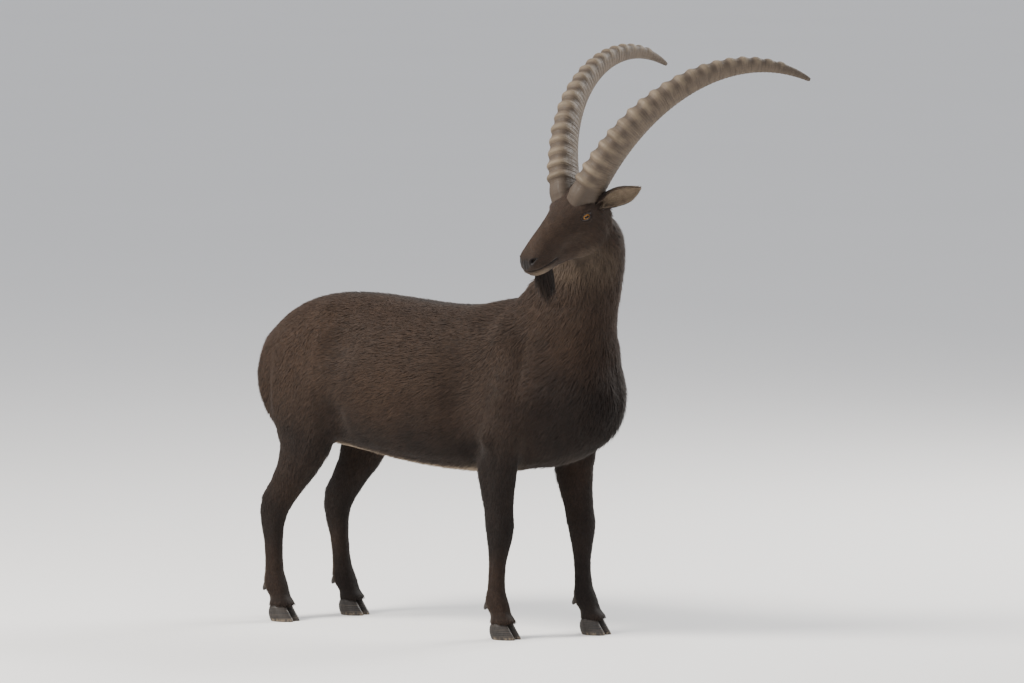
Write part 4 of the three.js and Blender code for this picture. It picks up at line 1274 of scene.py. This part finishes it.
def toe_mesh(low, high, inward):
    """One toe over its solid's box: a wedge with a flat sole, its tip turned a little inwards."""
    heel = low[0] / MM + 0.01 * HOOF_LENGTH
    middle = (low[1] + high[1]) / 2 / MM
    forward, sideways = circle(44)
    ahead, behind = np.maximum(0, forward), np.maximum(0, -forward)
    across = np.sign(sideways) * np.abs(sideways) ** 0.8 * (1 - 0.38 * ahead**2) * (1 - 0.1 * behind)
    rings = []
    for t in np.concatenate([[0, 0.06, 0.2], np.linspace(0.4, 4, 44)]):
        z, back, front, wide = TOE(t)[0]
        inset = 1.1 * max(0, 1 - z / 0.05) ** 2 + 0.28 * math.sin(z * 52) * smooth(z, 0.06, 0.2)
        half = (front - back) / 2 * HOOF_LENGTH - inset
        bulb = behind**2 * (11 * (1 - z) ** 3 + 18 * max(0, z - 0.35) ** 2)
        x = heel + back * HOOF_LENGTH + inset + half * (1 + forward) + bulb
        y = middle + (TOE_HALF_WIDTH * wide - inset) * across + inward * 4 * ahead**2
        rings.append(np.stack([x, y, np.full(len(x), z * HOOF_HEIGHT)], 1))
    return loft(np.array(rings) * MM)


def claw_mesh(low, high, inward):
    """One dewclaw in its solid's box: a blunt cone that points back and down."""
    share = np.linspace(0, 1, 16)[:, None]
    across = (low[1] + high[1]) / 2 + inward * 0.002
    start = np.array([high[0] + 0.008, across, high[2] - 0.003])
    end = np.array([low[0] + 0.0145, across, low[2] + 0.003])
    radius = 0.0092 * np.sqrt(1 - (share * 0.985) ** 4) * (1 - 0.25 * share)
    up = np.cross(unit(end - start), ACROSS)
    return loft(rings_round(start + share * (end - start), radius * ACROSS * 0.85, radius * up, 20))


class IBEX_OT_hooves(bpy.types.Operator):
    """Builds the toes and dewclaws of all four feet"""

    bl_idname = "ibex.hooves"
    bl_label = "Hooves"

    def execute(self, context):
        material = hoof_material()
        for leg in LEGS:
            for which in TOES:
                inward = (-1 if leg.endswith("left") else 1) * (-1 if which == "inner" else 1)
                for name, solid, mesh in (("toe", "hoof", toe_mesh), ("claw", "dewclaw", claw_mesh)):
                    node = f"{solid}_{leg}_{which}"
                    points, faces = mesh(*box(node), inward)
                    new_piece(f"{name}_{leg}_{which}", points, faces, material, "hoof", [node])
        return {"FINISHED"}


def hoof_material():
    settings = bpy.context.scene.ibex
    shader = Shader("hoof", Specular_IOR_Level=0.4)
    grain, rings = shader.noise(150, 4, (1, 1, 0.4)), shader.noise(90, 3, (0.15, 0.15, 2.6))
    place = shader.node("ShaderNodeTexCoord", output="Object")
    height = shader.node("ShaderNodeSeparateXYZ", (), {"Vector": place}, output="Z")
    colour = shader.layers(
        settings.hoof_dark,
        (rings.ramp(0.35, 0.8, 0, 0.6), settings.hoof_light),
        (grain.ramp(0.45, 0.75) * 0.4, settings.hoof_dark),
        (height.ramp(0.012, 0.002) * grain.ramp(0.4, 0.6) * 0.5, tone("8a7a66")),
    )
    normal = shader.bump(rings * 0.7 + grain * 0.5, 0.0012, 0.6)
    return shader.finish(colour, grain.ramp(0.3, 0.7, 0.45, 0.7), normal)


# Stage
VIEW_AZIMUTH, VIEW_ELEVATION = 35, 5
CAMERA_DISTANCE, SENSOR_WIDTH = 24.0, 36
FLOOR_REACH = 90.0
FRAME_SIZE = (1024, 683)
SKY_COLOUR, SKY_STRENGTH = (0.9, 0.93, 1.0, 1), 0.8
# Name, place, power, size and colour
LIGHTS = (
    ("key", (-2.2, -3.8, 5.0), 700, 2.2, (1.0, 0.96, 0.9)),
    ("fill", (5.0, -2.8, 2.2), 70, 3.5, (0.92, 0.96, 1.0)),
    ("rim", (1.5, 4.5, 3.6), 380, 2.5, (1.0, 0.98, 0.94)),
)


def stand(name, data, place, back):
    """A light or camera at a place, which looks away from the way back."""
    made = new_object(name, data)
    made.location = place
    made.rotation_mode = "QUATERNION"
    made.rotation_quaternion = Vector(back).to_track_quat("Z", "Y")
    return made


class IBEX_OT_stage(bpy.types.Operator):
    """Lays the floor, sets the lights and stands the camera at the photograph's viewing angle"""

    bl_idname = "ibex.stage"
    bl_label = "Stage"

    def execute(self, context):
        scene = context.scene
        settings = scene.ibex
        shader = Shader("floor", Roughness=0.9, Specular_IOR_Level=0.2)
        darker = tuple(0.97 * share for share in settings.floor_colour)
        shader.finish(shader.mix(shader.noise(0.6), settings.floor_colour, darker))
        corners = np.array([(-1, -1, 0), (1, -1, 0), (1, 1, 0), (-1, 1, 0)]) * FLOOR_REACH
        mesh = new_mesh("floor", corners, np.array([(0, 1, 2, 3)]))
        mesh.materials.append(shader.material)
        new_object("floor", mesh)

        scene.world = bpy.data.worlds.new("studio")
        scene.world.use_nodes = True
        background = scene.world.node_tree.nodes["Background"].inputs
        background["Color"].default_value = SKY_COLOUR
        background["Strength"].default_value = SKY_STRENGTH
        low, high = np.array(CAD_BOX)
        middle = (low + high) / 2
        for name, place, power, size, colour in LIGHTS:
            lamp = bpy.data.lights.new(name, "AREA")
            lamp.energy, lamp.size, lamp.color = power, size, colour
            stand(name, lamp, place, np.array(place) - middle)

        a, e = math.radians(VIEW_AZIMUTH), math.radians(VIEW_ELEVATION)
        back = np.array([math.sin(a) * math.cos(e), -math.cos(a) * math.cos(e), math.sin(e)])
        camera = bpy.data.cameras.new("camera")
        aim = middle + np.array([0, 0, -0.01])
        scene.camera = stand("camera", camera, aim + back * CAMERA_DISTANCE, back)
        frame_width = (high[2] - low[2]) / settings.fill * FRAME_SIZE[0] / FRAME_SIZE[1]
        camera.sensor_width = SENSOR_WIDTH
        camera.lens = SENSOR_WIDTH * CAMERA_DISTANCE / frame_width
        camera.clip_start, camera.clip_end = 1, 100
        return {"FINISHED"}


# Settings and panel
def colour_property(name, description, code):
    return FloatVectorProperty(
        name=name, description=description, subtype="COLOR", size=3, min=0, max=1, default=tone(code)
    )


class IbexSettings(bpy.types.PropertyGroup):
    """Sizes and colours that a user would change"""

    skin_grain: FloatProperty(
        name="Skin grain",
        description="Size of the skin's faces before the head is refined",
        default=0.0067,
        min=0.003,
        unit="LENGTH",
    )
    coat_cover: FloatProperty(
        name="Coat cover", description="How many tufts lie over each spot of skin", default=4.8, min=0.5
    )
    beard_locks: IntProperty(name="Beard locks", description="Number of locks in the beard", default=900)
    tail_locks: IntProperty(name="Tail locks", description="Number of long locks on the tail", default=520)
    seed: IntProperty(name="Seed", description="Start of every random draw", default=5)
    fill: FloatProperty(
        name="Fill",
        description="Share of the picture's height that the ibex takes",
        default=0.86,
        subtype="FACTOR",
        min=0.2,
        max=1,
    )
    coat_colour: colour_property("Coat", "Most of the coat", "372a21")
    dark_colour: colour_property("Dark coat", "Legs, chest, stripe of the back and beard", "1e1612")
    pale_colour: colour_property("Pale coat", "Belly, rump and lips", "978570")
    warm_colour: colour_property("Warm coat", "Warmer patches of the coat", "443123")
    bare_colour: colour_property("Bare skin", "Nostrils, lips and the rims of the eyes", "1c1411")
    horn_light: colour_property("Horn", "Most of the horn", "67594a")
    # The dark horn colour also paints the shade in the creases between the knobs.
    horn_dark: colour_property("Dark horn", "Creases and root of the horn", "352b22")
    horn_worn: colour_property("Worn horn", "Tops of the knobs", "84755f")
    hoof_dark: colour_property("Hoof", "Most of the hoof", "211d1a")
    hoof_light: colour_property("Pale hoof", "Worn streaks of the hoof", "4a4037")
    iris_light: colour_property("Iris", "Bright rays of the iris", "a06f2e")
    iris_dark: colour_property("Dark iris", "Dark rays of the iris", "4f3113")
    floor_colour: colour_property("Floor", "The floor", "edebe8")


class IBEX_PT_panel(bpy.types.Panel):
    """Lists the settings and the pieces of the ibex in the sidebar"""

    bl_label = "Ibex"
    bl_space_type = "VIEW_3D"
    bl_region_type = "UI"
    bl_category = "Ibex"

    def draw(self, context):
        for key in IbexSettings.__annotations__:
            self.layout.prop(context.scene.ibex, key)
        for operator in OPERATORS:
            self.layout.operator(operator.bl_idname)


OPERATORS = (
    IBEX_OT_skin,
    IBEX_OT_coat,
    IBEX_OT_beard,
    IBEX_OT_horns,
    IBEX_OT_eyes,
    IBEX_OT_hooves,
    IBEX_OT_stage,
)
CLASSES = (IbexSettings, *OPERATORS, IBEX_PT_panel)


def register():
    for cls in CLASSES:
        bpy.utils.register_class(cls)
    bpy.types.Scene.ibex = PointerProperty(type=IbexSettings)


def unregister():
    del bpy.types.Scene.ibex
    for cls in reversed(CLASSES):
        bpy.utils.unregister_class(cls)


def main():
    register()
    bpy.ops.ibex.skin()
    bpy.ops.ibex.coat()
    bpy.ops.ibex.beard()
    bpy.ops.ibex.horns()
    bpy.ops.ibex.eyes()
    bpy.ops.ibex.hooves()
    bpy.ops.ibex.stage()


if __name__ == "__main__":
    main()
